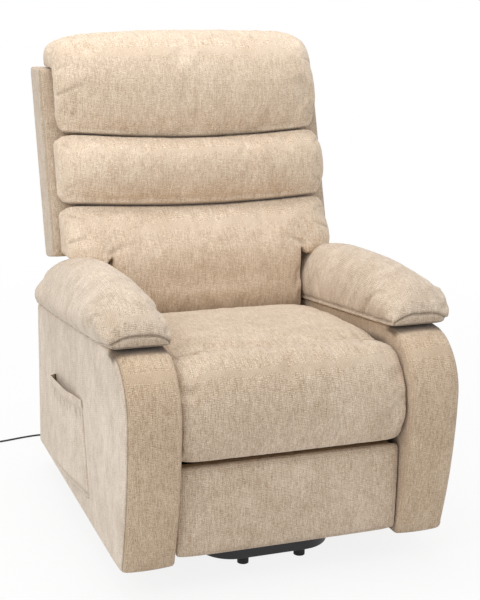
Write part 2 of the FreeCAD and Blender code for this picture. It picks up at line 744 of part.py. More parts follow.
def make_plates():
    """Side plates that carry the whole upper chair, with their pins and cross tubes."""
    axis = depth(S.footrest_axis_depth)
    front = depth(S.front_cross_depth) - 30
    rear = depth(S.rear_cross_depth)
    hinge = depth(S.recline_axis_depth)
    lift = depth(S.lift_head_depth)
    lift_rear = lift + S.rear_head_offset
    lift_rear_height = S.lift_head_height + S.rear_head_rise
    tail = depth(FOOT_MOUNT[0]) + 84
    rise = S.recline_axis_height + S.hinge_rim
    top = S.seat_frame_low
    corners = [(axis - 24, S.footrest_axis_height - 22), (axis - 24, top - S.cross_tube - 18),
               (front, top - S.cross_tube - 6), (front, top), (rear + 30, top), (hinge - 52, top + 46),
               (hinge - 24, rise - 13), (hinge - 12, rise), (hinge + 12, rise), (hinge + 24, rise - 13),
               (hinge + 34, top + 30), (tail, 205), (tail, 150), (lift_rear + 20, lift_rear_height - 26),
               (lift - 26, S.lift_head_height - 26), (lift - 60, S.lift_head_height + 4)]
    window = [(front + 120, 236), (lift + 30, 200), (rear + 60, 212), (rear + 60, 252), (lift + 30, 258),
              (front + 120, 256)]
    holes = [((axis, S.footrest_axis_height), S.pin), ((lift, S.lift_head_height), S.stub),
             ((lift_rear, lift_rear_height), S.stub), ((hinge, S.recline_axis_height), S.pin)]

    def side_plate(name, x):
        return plate_body(name, "YZ_Plane", corners, S.plate, (x, 0, 0), holes, [window])

    both_sides("mechanism_plates", side_plate, S.plate, plate_in)

    pins = []
    short = arm_face - inner_link_in + 6
    long = arm_face - S.ear_outer - 0.3
    spots = (("footrest", S.pin, axis, S.footrest_axis_height, short),
             ("front", S.stub, lift, S.lift_head_height, long),
             ("rear", S.stub, lift_rear, lift_rear_height, long),
             ("back", S.pin, hinge, S.recline_axis_height, short))
    for name, radius, y, height, length in spots:
        for side, x in (("left", arm_face - length), ("right", -arm_face)):
            pins.append(round_bar("plate_pin_%s_%s" % (name, side), radius, length, (x, y, height)))
    node(grouped("mechanism_pins", pins), "mechanism_pins")

    rows = (("seat_front", S.front_cross_depth, S.seat_frame_low - S.cross_tube * 0.5),
            ("seat_rear", S.rear_cross_depth, S.seat_frame_low - S.cross_tube * 0.5),
            ("back_motor", sized(BACK_MOUNT[0]), sized(BACK_MOUNT[1] + BRACKET_RISE)),
            ("footrest_motor", sized(FOOT_MOUNT[0] + BRACKET_REACH), sized(FOOT_MOUNT[1])))
    tubes = []
    for name, back, height in rows:
        spot = (-plate_in, depth(back) - S.cross_tube * 0.5, height - S.cross_tube * 0.5)
        tubes.append(square_tube(name + "_tube", S.cross_tube, plate_in * 2, spot))
    node(grouped("cross_tubes", tubes), "cross_tubes")
    rail_spot = (-arm_face, depth(S.arm_depth - S.rear_rail_inset), S.rear_rail_low)
    node(block("rear_rail", (arm_face * 2, S.board_wood, S.rear_rail_height), rail_spot), "rear_rail")


def make_seat():
    """Wooden seat frame, its springs, the seat cushion and the rolled front bolster."""
    rail = S.seat_frame_rail
    half = S.seat_frame_half
    front = depth(S.seat_frame_front)
    rear = depth(S.seat_frame_rear)
    corners = [(-half, front), (half, front), (half, rear), (-half, rear)]
    window = [(-(half - rail), front + rail), (half - rail, front + rail), (half - rail, rear - rail),
              (-(half - rail), rear - rail)]
    frame = plate_body("seat_frame", "XY_Plane", corners, S.seat_frame_high - S.seat_frame_low,
                       (0, 0, S.seat_frame_low), windows=[window])
    node(frame, "seat_frame")
    node(solid("seat_springs", Part.makeCompound([spring(x) for x in (-150, -50, 50, 150)])), "seat_springs")
    make_seat_cushion()
    make_bolster()


def spring(x):
    """One sinuous spring: straight ends on the rails and half-round bends between them."""
    front = S.seat_frame_front.number + S.seat_frame_rail.number / 2 - S.front_line.number
    rear = S.seat_frame_rear.number - S.seat_frame_rail.number / 2 - S.front_line.number
    wire = S.spring_wire.number
    height = S.seat_frame_high.number + wire
    bends = 12
    pitch = (rear - front) / (bends + 1)
    reach = 16.0
    edges = []
    start = Vector(x, front, height)
    y = front + pitch / 2
    for index in range(bends):
        side = 1 if index % 2 == 0 else -1
        low = Vector(x + side * reach, y, height)
        if index == 0:
            edges.append(Part.LineSegment(start, Vector(x, y, height)))
            edges.append(Part.LineSegment(Vector(x, y, height), low))
        crest = Vector(x + side * (reach + pitch / 2), y + pitch / 2, height)
        high = Vector(x + side * reach, y + pitch, height)
        edges.append(Part.Arc(low, crest, high))
        across = side * reach if index < bends - 1 else 0
        following = Vector(x - across, y + pitch, height)
        edges.append(Part.LineSegment(high, following))
        y += pitch
    edges.append(Part.LineSegment(Vector(x, y, height), Vector(x, rear, height)))
    path = Part.Wire([edge.toShape() for edge in edges])
    profile = Part.Wire([Part.Circle(start, Vector(0, 1, 0), wire).toShape()])
    return path.makePipeShell([profile], True, False, 2)


def section_wire(x, points):
    """A closed section at one X through lines and three-point arcs of (depth-wise, upward) points."""
    edges = []
    at = [(x, p[0], p[1]) for p in points]
    index = 0
    while index < len(at) - 1:
        kind = points[index + 1][2] if len(points[index + 1]) > 2 else "line"
        if kind == "via":
            edges.append(arc(at[index], at[index + 1], at[index + 2]))
            index += 2
        else:
            edges.append(line(at[index], at[index + 1]))
            index += 1
    return closed_wire(edges)


def roundness(share, power):
    """How far a soft form has drawn in at a share of its half width: 0 in the middle, 1 at its end."""
    return 1 - sqrt(1 - abs(share) ** power)


def fullness(share):
    """Share of a back cushion's thickness at a share of its half width."""
    return 1 - 0.14 * share ** 2 - 0.48 * roundness(share, 7)


def corner_inset(share):
    """How far a back cushion's seams draw together towards its ends."""
    return 24 * roundness(share, 11)


def seam_height(seam, share):
    """Height of a sagging seam between two back cushions, along the slope."""
    return seam.number - S.seam_dip.number * (1 - share ** 2)


STATIONS = (0, 0.3, 0.5, 0.66, 0.78, 0.87, 0.93, 0.97, 0.993)


def loft_across(half, section):
    """A soft form lofted across X from sections at both sides of the middle."""
    shares = [-share for share in STATIONS[:0:-1]] + list(STATIONS)
    return Part.makeLoft([section_wire(share * half, section(share)) for share in shares], True, False)


def make_seat_cushion():
    """Crowned cushion on the springs, with drawn-in sides, between the arms."""
    low = S.seat_frame_high.number + 2 * S.spring_wire.number + S.soft_gap.number
    front = S.seam_depth.number - S.front_line.number + S.soft_gap.number
    rear = S.seat_frame_rear.number - S.front_line.number

    def section(share):
        draw = 12 * roundness(share, 8)
        drop = 26 * roundness(share, 6)
        top_front = S.seat_front_top.number - drop
        top_rear = S.seat_rear_top.number - drop
        crest = (top_front + top_rear) / 2 + S.seat_crown.number - drop * 0.3
        return [(front, low + draw), (rear - 6, low + draw), (rear, (low + top_rear) / 2, "via"),
                (rear - 12, top_rear - 4), ((front + rear) / 2, crest, "via"), (front, top_front),
                (front, low + draw)]

    cushion = loft_across(arm_face.number - S.seat_side_gap.number, section)
    node(solid("seat_cushion", cushion), "seat_cushion")


def make_bolster():
    """Rolled front of the seat, from the seam down to the footrest."""
    shift = S.front_line.number
    seam = S.seam_depth.number - shift - S.soft_gap.number
    frame_front = S.seat_frame_front.number - shift - S.soft_gap.number
    frame_top = S.seat_frame_high.number + 2 * S.spring_wire.number + S.soft_gap.number

    def section(share):
        draw = 12 * roundness(share, 10)
        low = S.bolster_low.number + draw * 0.5
        nose = -S.bolster_front.number - shift + draw
        top = S.seat_front_top.number - 28 * roundness(share, 6)
        belly = (nose, (low + top) / 2 - 6)
        chin = (nose + 12, low + 19)
        brow = (nose + 22, top - 42)
        rear_low = low - S.bolster_fall.number
        return [(frame_front, rear_low), (frame_front, frame_top), (seam, frame_top), (seam, top - 3),
                (seam - 50, top + 3, "via"), brow, belly + ("via",), chin, (nose + 18, low + 6, "via"),
                (nose + 32, low), (frame_front, rear_low)]

    bolster = loft_across(arm_face.number - S.bolster_side_gap.number, section)
    node(solid("seat_bolster", bolster), "seat_bolster")


def tangent_middle(start, direction, end):
    """Middle of the arc that leaves a point in a direction and reaches another point."""
    chord = between(start, end)
    half_turn = radians(heading((0, 0), chord) - heading((0, 0), direction))
    half_turn = atan2(sin(half_turn), cos(half_turn)) / 2
    rise = tan(half_turn) / 2
    return (start[0] + chord[0] / 2 + chord[1] * rise, start[1] + chord[1] / 2 - chord[0] * rise)


def end_direction(start, middle, end):
    """Direction in which an arc through three points arrives at its end."""
    chord = between(start, end)
    bend = radians(heading(start, middle) - heading(start, end))
    return turned(chord, -2 * degrees(bend))


def arm_outline(low_x):
    """Side view of an arm: leaning front, rounded shoulder and a top that falls to the rear."""
    shift = S.front_line.number
    low = S.arm_bottom.number
    nose = (-S.arm_bulge.number, S.arm_bulge_height.number)
    rear = S.arm_depth.number
    foot = (0.0, low)
    belly = (nose[0] * 0.72, (low + nose[1]) / 2 - 10)
    shoulder = (S.pad_front.number, S.arm_top_front.number)
    bend = tangent_middle(nose, end_direction(foot, belly, nose), shoulder)
    points = [foot, belly + ("via",), nose, bend + ("via",), shoulder, (rear, S.arm_top_rear.number),
              (rear, low), foot]
    return section_wire(low_x, [(p[0] - shift,) + tuple(p[1:]) for p in points])


def make_arms():
    """Upholstered arms over their wooden frame boards, and the arm pads."""
    width = S.arm_width.number
    shift = S.front_line.number
    for side, sign in (("left", 1), ("right", -1)):
        outer = sign * S.half_width.number
        inner = sign * arm_face.number
        low_x = min(outer, inner)
        arm = Part.Face(arm_outline(low_x)).extrude(Vector(width, 0, 0))
        for face_x in (outer, inner):
            edges = [edge for edge in arm.Edges if edge.BoundBox.XLength < 0.01
                     and edge.BoundBox.YMax < S.pad_front.number - shift + 1
                     and abs(edge.BoundBox.XMin - face_x) < 1]
            arm = arm.makeFillet(S.arm_rounding.number, edges)
        room = S.board_wood.number + S.soft_gap.number
        room_x = inner if sign > 0 else inner - room
        gap = S.soft_gap.number
        corner = Vector(room_x, S.arm_frame_front.number - shift - gap, S.arm_frame_low.number - gap)
        room_box = Part.makeBox(room, S.arm_frame_rear.number - S.arm_frame_front.number + 2 * gap,
                                S.arm_frame_high.number - S.arm_frame_low.number + 2 * gap, corner)
        node(solid("arm_" + side, arm.cut(room_box)), "arm_" + side)

        front = depth(S.arm_frame_front)
        rear = depth(S.arm_frame_rear)
        corners = [(front, S.arm_frame_low), (rear, S.arm_frame_low), (rear, S.arm_frame_high),
                   (front, S.arm_frame_high)]
        x = arm_face if sign > 0 else -(arm_face + S.board_wood)
        board = plate_body("arm_frame_" + side, "YZ_Plane", corners, S.board_wood, (x, 0, 0))
        node(board, "arm_frame_" + side)
        make_arm_pad(side, sign)


def arm_top(back):
    """Height of the arm's top at a depth."""
    share = (back - S.pad_front.number) / (S.arm_depth.number - S.pad_front.number)
    return S.arm_top_front.number + share * (S.arm_top_rear.number - S.arm_top_front.number)


# Arm pad sections: depth, lift of the underside above the arm's top, height of the top, inset
PAD_SECTIONS = (
    (44, 4, 538, 8), (47, 3, 549, 4), (56, 1.5, 567, 2), (72, 0.3, 584, 1), (100, 0.3, 601, 0),
    (150, 0.3, 613, 0), (220, 0.3, 618, 0), (340, 0.3, 616, 0), (480, 0.3, 601, 0),
    (600, 0.3, 578, 1), (680, 0.3, 551, 3),
    (730, 0.3, 521, 6), (762, 0.3, 491, 11), (780, 0.3, 463, 18), (787, 0.3, 443, 25),
)


def make_arm_pad(side, sign):
    """Fat pad over the arm's top, fullest near the front and rounded down at the rear."""
    shift = S.front_line.number
    inner = arm_face.number - S.pad_overhang_in.number
    outer = S.half_width.number + S.pad_overhang_out.number
    sections = []
    for back, lift, top, inset in PAD_SECTIONS:
        low = arm_top(back) + lift
        tall = top - low
        x_in = inner + inset * 0.6
        x_out = outer - inset
        middle = (x_in + x_out) / 2
        wide = (x_out - x_in) / 2
        points = [(x_in + 3, low), (x_out - 3, low), (x_out, low + 0.40 * tall),
                  (middle + 0.62 * wide, low + 0.86 * tall), (middle, low + tall),
                  (middle - 0.62 * wide, low + 0.88 * tall), (x_in, low + 0.42 * tall)]
        p = [Vector(sign * a, back - shift, b) for a, b in points]
        edges = [Part.LineSegment(p[0], p[1]), Part.Arc(p[1], p[2], p[3]), Part.Arc(p[3], p[4], p[5]),
                 Part.Arc(p[5], p[6], p[0])]
        sections.append(closed_wire(edges))
    node(solid("arm_pad_" + side, Part.makeLoft(sections, True, False)), "arm_pad_" + side)


# Footrest: links, torque tube, brackets, board and pad


def make_footrest():
    length = S.footrest_link
    angle = heading(FOOT.axis, FOOT.knee)
    second = heading(FOOT.knee, FOOT.head)
    bore = S.pin + S.bore_play

    def inner_link(name, x):
        spot = (x, depth(S.footrest_axis_depth), S.footrest_axis_height)
        return bar_body(name, length, S.link_half, S.plate, spot, angle, ((0, bore), (length, S.pin)))

    def outer_link(name, x):
        spot = (x, depth(FOOT.knee[0]), FOOT.knee[1])
        return bar_body(name, length, S.link_half, S.plate, spot, second, ((0, bore), (length, bore)))

    both_sides("footrest_inner_links", inner_link, S.plate, inner_link_in)
    both_sides("footrest_outer_links", outer_link, S.plate, outer_link_in)

    reach = inner_link_in
    spot = (-reach, depth(S.footrest_axis_depth), S.footrest_axis_height)
    node(hollow_bar("footrest_torque_tube", S.footrest_tube, reach * 2, spot), "footrest_torque_tube")
    slot = slot_of(FOOT_MOUNT, FOOT.axis, FOOT_CRANK, FOOT.turn)
    make_crank("footrest_crank", FOOT.axis, S.footrest_tube.number, FOOT_CRANK, slot,
               -S.side_motor_offset.number)

    knee_pins = []
    pin_length = S.plate + S.layer_gap + S.plate + 0.3
    for side, x in (("left", outer_link_in - 0.3), ("right", -(inner_link_in + S.plate))):
        spot = (x, depth(FOOT.knee[0]), FOOT.knee[1])
        knee_pins.append(round_bar("knee_pin_" + side, S.pin, pin_length, spot))
    node(grouped("footrest_knee_pins", knee_pins), "footrest_knee_pins")

    board_half = bracket_in
    node(block("footrest_board", (board_half * 2, S.board_wood, S.footrest_high - S.footrest_low - 8),
               (-board_half, depth(S.footrest_back) - S.board_wood, S.footrest_low + 4)), "footrest_board")
    web = [(depth(S.footrest_back) - S.board_wood + 2, S.footrest_low + 50),
           (depth(S.footrest_back), S.footrest_low + 50),
           (depth(S.footrest_head_depth) + S.link_half, S.footrest_head_height - 30),
           (depth(S.footrest_head_depth) + S.link_half, S.footrest_head_height + 7),
           (depth(S.footrest_head_depth), S.footrest_head_height + 11),
           (depth(S.footrest_back) - S.board_wood + 2, S.footrest_head_height + 11)]
    hole = [((depth(S.footrest_head_depth), S.footrest_head_height), S.pin)]

    def bracket(name, x):
        return plate_body(name, "YZ_Plane", web, S.plate, (x, 0, 0), hole)

    both_sides("footrest_brackets", bracket, S.plate, bracket_in)
    head_pins = []
    pin_length = S.plate + S.layer_gap + S.plate + 0.3
    for side, x in (("left", bracket_in), ("right", -(outer_link_in + S.plate + 0.3))):
        spot = (x, depth(S.footrest_head_depth), S.footrest_head_height)
        head_pins.append(round_bar("head_pin_" + side, S.pin, pin_length, spot))
    node(grouped("footrest_head_pins", head_pins), "footrest_head_pins")
    make_footrest_pad()


def make_footrest_pad():
    """Flat upholstered panel with a low crown and drawn-in edges."""
    shift = S.front_line.number
    back = S.footrest_back.number - S.board_wood.number - shift - S.soft_gap.number
    face = -S.footrest_front.number - shift

    def section(share):
        draw = 7 * roundness(share, 12)
        low = S.footrest_low.number + draw * 0.6
        high = S.footrest_high.number - draw * 0.6
        nose = face + draw
        crown = 4 * (1 - roundness(share, 4))
        return [(back, low), (back, high), (nose + 8, high), (nose + 2.5, high - 3, "via"), (nose, high - 11),
                (nose - crown, (low + high) / 2, "via"), (nose, low + 11), (nose + 2.5, low + 3, "via"),
                (nose + 8, low), (back, low)]

    node(solid("footrest_pad", loft_across(S.footrest_half.number, section)), "footrest_pad")


# Back: leaning frame, upholstered back and its three cushions, drawn in the back's own slope


def back_placement():
    spot = Vector(0, S.back_plane_depth.number - S.front_line.number, S.recline_axis_height.number)
    return Placement(spot, Rotation(Vector(1, 0, 0), -S.back_lean.number))


def prism(points, low_x, high_x):
    corners = [Vector(low_x, a, b) for a, b in points]
    return Part.Face(Part.makePolygon(corners + [corners[0]])).extrude(Vector(high_x - low_x, 0, 0))


def make_back():
    lean = back_placement()
    thick = S.back_thickness.number
    wide = S.back_half.number
    narrow = S.back_half_low.number
    top = S.back_top.number
    rise = S.back_top_rise.number
    wing = S.wing_low.number
    low = S.back_low.number
    wood = S.back_frame_wood.number
    wing_rear = wing + S.wing_rise.number
    upper = prism([(0, wing), (thick, wing_rear), (thick, top + rise), (0, top)], -wide, wide)
    boxes = [(edge, edge.BoundBox) for edge in upper.Edges]
    slope_edges = [edge for edge, box in boxes if box.XLength < 0.01 and box.ZLength > 200]
    top_edges = [edge for edge, box in boxes if box.XLength > wide and box.ZMin > top - 5]
    upper = upper.makeFillet(8, slope_edges + top_edges)
    behind = wood + S.soft_gap.number
    lower = prism([(behind, low), (thick, low + 20), (thick, wing_rear + 20), (behind, wing_rear + 20)],
                  -narrow, narrow)
    half = S.back_frame_half.number
    high = S.back_frame_high.number
    frame_room = Part.makeBox(2 * half + 0.6, behind, high - low + 0.3, Vector(-half - 0.3, 0, low))
    tube_room = Part.makeBox(2 * narrow + 2, 34, 82, Vector(-narrow - 1, behind - 1, low - 1))
    crank_half = S.eye_width.number / 2 + CHEEK_GAP + S.plate.number + 2
    crank_room = Part.makeBox(2 * crank_half, CRANK_ROOM[1] - CRANK_ROOM[0], 84,
                              Vector(S.side_motor_offset.number - crank_half, CRANK_ROOM[0], low - 2))
    shell = upper.fuse(lower).cut(frame_room.fuse([tube_room, crank_room])).removeSplitter()
    node(solid("back_shell", shell, lean), "back_shell")

    board = Part.makeBox(2 * half, wood, high - low, Vector(-half, 0, low))
    rail = S.back_frame_rail.number
    clear = (high - low - rail * (BACK_BAYS + 1)) / BACK_BAYS
    for bay in range(BACK_BAYS):
        corner = Vector(-half + rail, -1, low + rail + bay * (clear + rail))
        board = board.cut(Part.makeBox(2 * (half - rail), wood + 2, clear, corner))
    node(solid("back_frame", board.cut(crank_room), lean), "back_frame")

    node(solid("middle_cushion", middle_cushion(), lean), "middle_cushion")
    node(solid("head_cushion", head_cushion(), lean), "head_cushion")
    node(solid("lower_cushion", lower_cushion(), lean), "lower_cushion")
    make_back_brackets()


# Openings in the back's frame, and the room that the back crank needs behind its front plane
BACK_BAYS = 5
CRANK_ROOM = (21.5, 76.0)


def middle_cushion():
    """Full-width roll between the two other cushions, with rounded ends."""
    gap = S.soft_gap.number

    def section(share):
        low = seam_height(S.seam_low, share) + gap
        high = seam_height(S.seam_high, share) - gap
        full = fullness(share)
        inset = corner_inset(share)
        seam = -S.seam_thickness.number * full
        rest = -gap - 12 * roundness(share, 14)
        bulge = -S.cushion_bulge.number * full
        return [(rest, low + inset), (seam, low + inset), (bulge, (low + high) / 2, "via"),
                (seam, high - inset), (rest, high - inset), (rest, low + inset)]

    return loft_across(S.cushion_half.number, section)


def head_cushion():
    """Head cushion: rolls over the top of the back."""
    shell_top = S.back_top.number
    thick = S.back_thickness.number
    slope = S.back_top_rise.number / thick

    def section(share):
        full = fullness(share)
        inset = corner_inset(share)
        low = seam_height(S.seam_high, share) + S.soft_gap.number
        tuck = -S.soft_gap.number - 28 * roundness(share, 14)
        crest = S.cushion_top.number - 20 * share ** 2 - 40 * roundness(share, 12)
        seam = -S.seam_thickness.number * full
        bulge = -S.cushion_bulge.number * full
        rear = thick * 0.66 - inset
        rest = shell_top + slope * rear + 1.0
        return [(tuck, low + inset), (seam, low + inset), (bulge, (low + crest) / 2 - 25, "via"),
                (bulge * 0.86, crest - 62), (bulge * 0.42, crest - 10, "via"), (4.0, crest),
                (rear + 2, (crest + rest) / 2 + 8, "via"), (rear, rest),
                (tuck, shell_top + 1.0), (tuck, low + inset)]

    return loft_across(S.head_half.number, section)


def lower_cushion():
    """Lower cushion: over the arm pads as wide as the others, and narrow between the arms."""
    low = S.back_low.number

    def section(share):
        high = seam_height(S.seam_low, share) - S.soft_gap.number
        full = fullness(share)
        inset = corner_inset(share)
        rest = -S.soft_gap.number - 8 * roundness(share, 14)
        bulge = -(S.cushion_bulge.number - 1) * full
        seam = -S.seam_thickness.number * full
        return [(rest, low), (-50 * full, low), (-84 * full, 8, "via"), (-100 * full, 74),
                (bulge, 165, "via"), (seam, high - inset), (rest, high - inset), (rest, low)]

    cushion = loft_across(S.cushion_half.number, section)
    for sign in (1, -1):
        cushion = cushion.cut(arm_notch(sign))
    return cushion


def arm_notch(sign):
    """Room for an arm pad: a straight inner side, a roof that falls to the front and a rounded outer corner."""
    narrow = S.low_half.number
    edge = S.cushion_half.number
    back = 1.0
    front = -199.0
    fall = NOTCH_SLOPE * (back - front)
    roof = S.wing_low.number - 4 - fall
    low = S.back_low.number - 60
    start = Vector(sign * narrow, front, low)
    inner = Vector(sign * narrow, front, roof)
    outer = Vector(sign * (edge - 30), front, roof)
    bend = Vector(sign * (edge - 9), front, roof + 8)
    tip = Vector(sign * (edge + 2), front, roof + 34)
    far = Vector(sign * (edge + 40), front, roof + 34)
    foot = Vector(sign * (edge + 40), front, low)
    edges = [Part.LineSegment(start, inner), Part.LineSegment(inner, outer), Part.Arc(outer, bend, tip),
             Part.LineSegment(tip, far), Part.LineSegment(far, foot), Part.LineSegment(foot, start)]
    return Part.Face(closed_wire(edges)).extrude(Vector(0, back - front, fall))


# Fall of the roof over the arm pads towards the front of the lower cushion
NOTCH_SLOPE = 0.1


def make_back_brackets():
    """Hinge brackets beside the back's frame, and the back crank on the torque tube."""
    lean = back_placement()
    hinge = lean.inverse().multVec(Vector(0, S.recline_axis_depth.number - S.front_line.number,
                                          S.recline_axis_height.number))
    inner_x = S.back_frame_half.number
    outer_x = (inner_link_in + S.plate).number
    thick = S.plate.number
    rod = S.pin.number + S.bore_play.number
    brackets = []
    for sign in (1, -1):

        def low_of(one, other):
            return min(sign * one, sign * other)

        boss_spot = Vector(low_of(inner_x, outer_x), hinge.y, hinge.z)
        boss = Part.makeCylinder(S.hinge_boss.number, outer_x - inner_x, boss_spot, Vector(1, 0, 0))
        arm_spot = Vector(low_of(inner_x, inner_x + thick), 2, hinge.z - 12)
        arm = Part.makeBox(thick, S.hinge_bracket_width.number, S.hinge_bracket_length.number, arm_spot)
        hole_spot = Vector(low_of(inner_x - 1, outer_x + 1), hinge.y, hinge.z)
        hole = Part.makeCylinder(rod, outer_x - inner_x + 2, hole_spot, Vector(1, 0, 0))
        brackets.append(boss.fuse(arm).cut(hole).removeSplitter())
    node(solid("back_brackets", Part.makeCompound(brackets), lean), "back_brackets")
    slot = slot_of(BACK_MOUNT, RECLINE_AXIS, BACK_CRANK, -RECLINE_TILT)
    make_crank("back_crank", RECLINE_AXIS, S.recline_tube.number, BACK_CRANK, slot, S.side_motor_offset.number)


# Side pocket, handset and its buttons


def pocket_section(inset, height, bulge):
    """Closed outline of the pocket at one height: nearly flat outside, with turned-in side edges."""
    share = (height - S.pocket_low.number) / (S.pocket_high.number - S.pocket_low.number)
    lean = S.pocket_lean.number * share - S.front_line.number
    front = S.pocket_front.number + lean + inset
    rear = S.pocket_rear.number + lean - inset
    turn_in = S.pocket_return.number
    middle = (front + rear) / 2
    slope = S.pocket_fall.number / (S.pocket_rear.number - S.pocket_front.number)

    def spot(out, back):
        return Vector(-S.half_width.number - out, back, height - slope * (back - middle))

    corners = []
    for edge, way in ((front, 1), (rear, -1)):
        via = spot(bulge * 0.55, edge + way * turn_in * 0.28)
        corners.append((spot(0, edge), via, spot(bulge * 0.86, edge + way * turn_in)))
    first, last = corners
    crest = spot(bulge, middle)
    return closed_wire([Part.LineSegment(last[0], first[0]), Part.Arc(*first),
                        Part.Arc(first[2], crest, last[2]), Part.Arc(*last[::-1])])


def make_pocket():
    """Pocket on the outer face of the sitter's right arm, open at the top, its sides leaning back."""
    wall = S.pocket_wall.number
    low = S.pocket_low.number
    high = S.pocket_high.number
    bulge = S.pocket_bulge.number
    outside = Part.makeLoft([pocket_section(0, low, bulge - 1), pocket_section(0, high, bulge)], True, True)
    inside = Part.makeLoft([pocket_section(wall, low + wall, bulge - 1 - wall),
                            pocket_section(wall, high + 1, bulge - wall)], True, True)
    node(solid("side_pocket", outside.cut(inside)), "side_pocket")


def make_handset():
    """Slim handset in the pocket, with an up and a down button on its face."""
    middle = (S.pocket_front + S.pocket_rear + S.pocket_lean) * 0.5
    wide = S.handset_width
    outer_x = -(S.half_width + S.soft_gap)
    low = S.pocket_low + S.pocket_wall + S.soft_gap + S.pocket_fall * 0.1
    case = block("handset_block", (S.handset_thickness, wide, S.handset_height),
                 (outer_x - S.handset_thickness, depth(middle) - wide * 0.5, low))
    wells = []
    heights = (("up", low + S.handset_height - 34), ("down", low + S.handset_height - 62))
    for name, z in heights:
        wells.append(round_bar("well_" + name, S.button + 0.3, 3.4, (outer_x - S.handset_thickness - 0.1,
                                                                    depth(middle), z)))
    well_pair = joined("button_wells", wells)
    rounded = doc.addObject("Part::Fillet", "handset_rounded")
    rounded.Base = case
    doc.recompute()
    upright = [index for index, edge in enumerate(case.Shape.Edges, start=1) if edge.BoundBox.XLength > 1]
    rounded.Edges = [(index, 5.0, 5.0) for index in upright]
    node(cut("handset_case", rounded, well_pair), "handset_case")
    for name, z in heights:
        x = outer_x - S.handset_thickness - 1.0
        button = round_bar("button_" + name, S.button, sized(4.05) - S.button_travel, (x, depth(middle), z))
        node(button, "button_" + name)


# Power supply and mains cord


def make_supply():
    base_top = S.foot_height + S.tube
    x = -150.0
    box = block("power_supply", (S.supply_width, S.supply_depth, S.supply_height),
                (sized(x) - S.supply_width * 0.5, depth(S.base_rear) - S.supply_depth * 0.5 - 10, base_top))
    node(box, "power_supply")
    return (x, S.base_rear.number + S.supply_depth.number / 2 - 10, base_top.number + 14)


# The mains cord's route on the floor, from the power supply to the coil, in millimetres.
# Points are (x, depth, height).
CORD_ROUTE = [
    (-150.0, 786.0, 58.0), (-150.0, 806.0, 58.0), (-151.0, 829.0, 48.0), (-156.0, 851.0, 30.0),
    (-166.0, 872.0, 12.5), (-184.0, 897.0, 3.0), (-212.0, 926.0, 3.0), (-246.0, 955.0, 3.0),
    (-286.0, 975.0, 3.0), (-331.0, 981.0, 3.0), (-378.0, 974.0, 3.0), (-424.0, 962.0, 3.0),
    (-468.0, 958.0, 3.0), (-508.0, 958.0, 3.0),
]


def cord_path(points):
    """Straight runs joined by tangent arcs, each as large as its two runs allow."""
    vectors = [Vector(x, back - S.front_line.number, height) for x, back, height in points]
    edges = []
    radii = []
    cursor = vectors[0]
    for before, corner, after in zip(vectors, vectors[1:], vectors[2:]):
        come = corner - before
        leave = after - corner
        share = 0.45 * min(come.Length, leave.Length)
        radii.append(share / tan(come.getAngle(leave) / 2))
        first = corner - come.normalize() * share
        last = corner + leave.normalize() * share
        edges.append(Part.LineSegment(cursor, first))
        edges.append(tangent_arc(first, corner, last))
        cursor = last
    edges.append(Part.LineSegment(cursor, vectors[-1]))
    return Part.Wire([edge.toShape() for edge in edges]), radii


def tube_along(path, radius):
    start = path.OrderedVertexes[0].Point
    direction = path.OrderedEdges[0].tangentAt(path.OrderedEdges[0].FirstParameter)
    profile = Part.Wire([Part.Circle(start, direction, radius).toShape()])
    return path.makePipeShell([profile], True, False, 2)


# The coil: radius at the middle of its turns, pitch, quarter turns in a layer and in the climb
# between the layers, and the straight run from its last turn to the plug
COIL_MIDDLE = 26.0
COIL_PITCH = 6.6
COIL_LAYER_QUARTERS = 15
COIL_CLIMB_QUARTERS = 2
COIL_TAIL = 48.0


def biarc(start, start_way, end, end_way):
    """Two arcs that join two points and meet both directions."""
    chord = end - start
    ways = start_way + end_way
    square = 2 * (1 - start_way.dot(end_way))
    linear = 2 * chord.dot(ways)
    reach = (-linear + sqrt(linear ** 2 + 4 * square * chord.dot(chord))) / (2 * square)
    first = start + start_way * reach
    last = end - end_way * reach
    middle = (first + last) * 0.5
    return [tangent_arc(start, first, middle), tangent_arc(middle, last, end)]


def tangent_arc(start, corner, end):
    """The arc that touches both legs of a corner at their ends."""
    come = corner - start
    half_turn = come.getAngle(end - corner) / 2
    radius = come.Length / tan(half_turn)
    inward = ((start + end) * 0.5 - corner).normalize()
    return Part.Arc(start, corner + inward * (radius / cos(half_turn) - radius), end)


def coil_points(entry):
    """Points of the coil a quarter turn apart: inwards on the floor, up a layer and outwards again."""
    shift = S.front_line.number
    quarter_pitch = COIL_PITCH / 4
    outer = COIL_MIDDLE + quarter_pitch * COIL_LAYER_QUARTERS / 2
    centre = Vector(entry[0], entry[1] - shift - outer, 0)
    points = []
    radius = outer
    height = entry[2]
    for step in range(2 * COIL_LAYER_QUARTERS + COIL_CLIMB_QUARTERS + 1):
        angle = pi / 2 * (step + 1)
        points.append(centre + Vector(radius * cos(angle), radius * sin(angle), height))
        if step < COIL_LAYER_QUARTERS:
            radius -= quarter_pitch
        elif step < COIL_LAYER_QUARTERS + COIL_CLIMB_QUARTERS:
            height += COIL_PITCH / COIL_CLIMB_QUARTERS
        else:
            radius += quarter_pitch
    return points


def coil_path(points):
    ways = [Vector(-1, 0, 0)]
    for before, after in zip(points, points[2:]):
        ways.append((after - before).normalize())
    ways.append(Vector(-1, 0, 0))
    arcs = []
    for index in range(len(points) - 1):
        arcs += biarc(points[index], ways[index], points[index + 1], ways[index + 1])
    return arcs


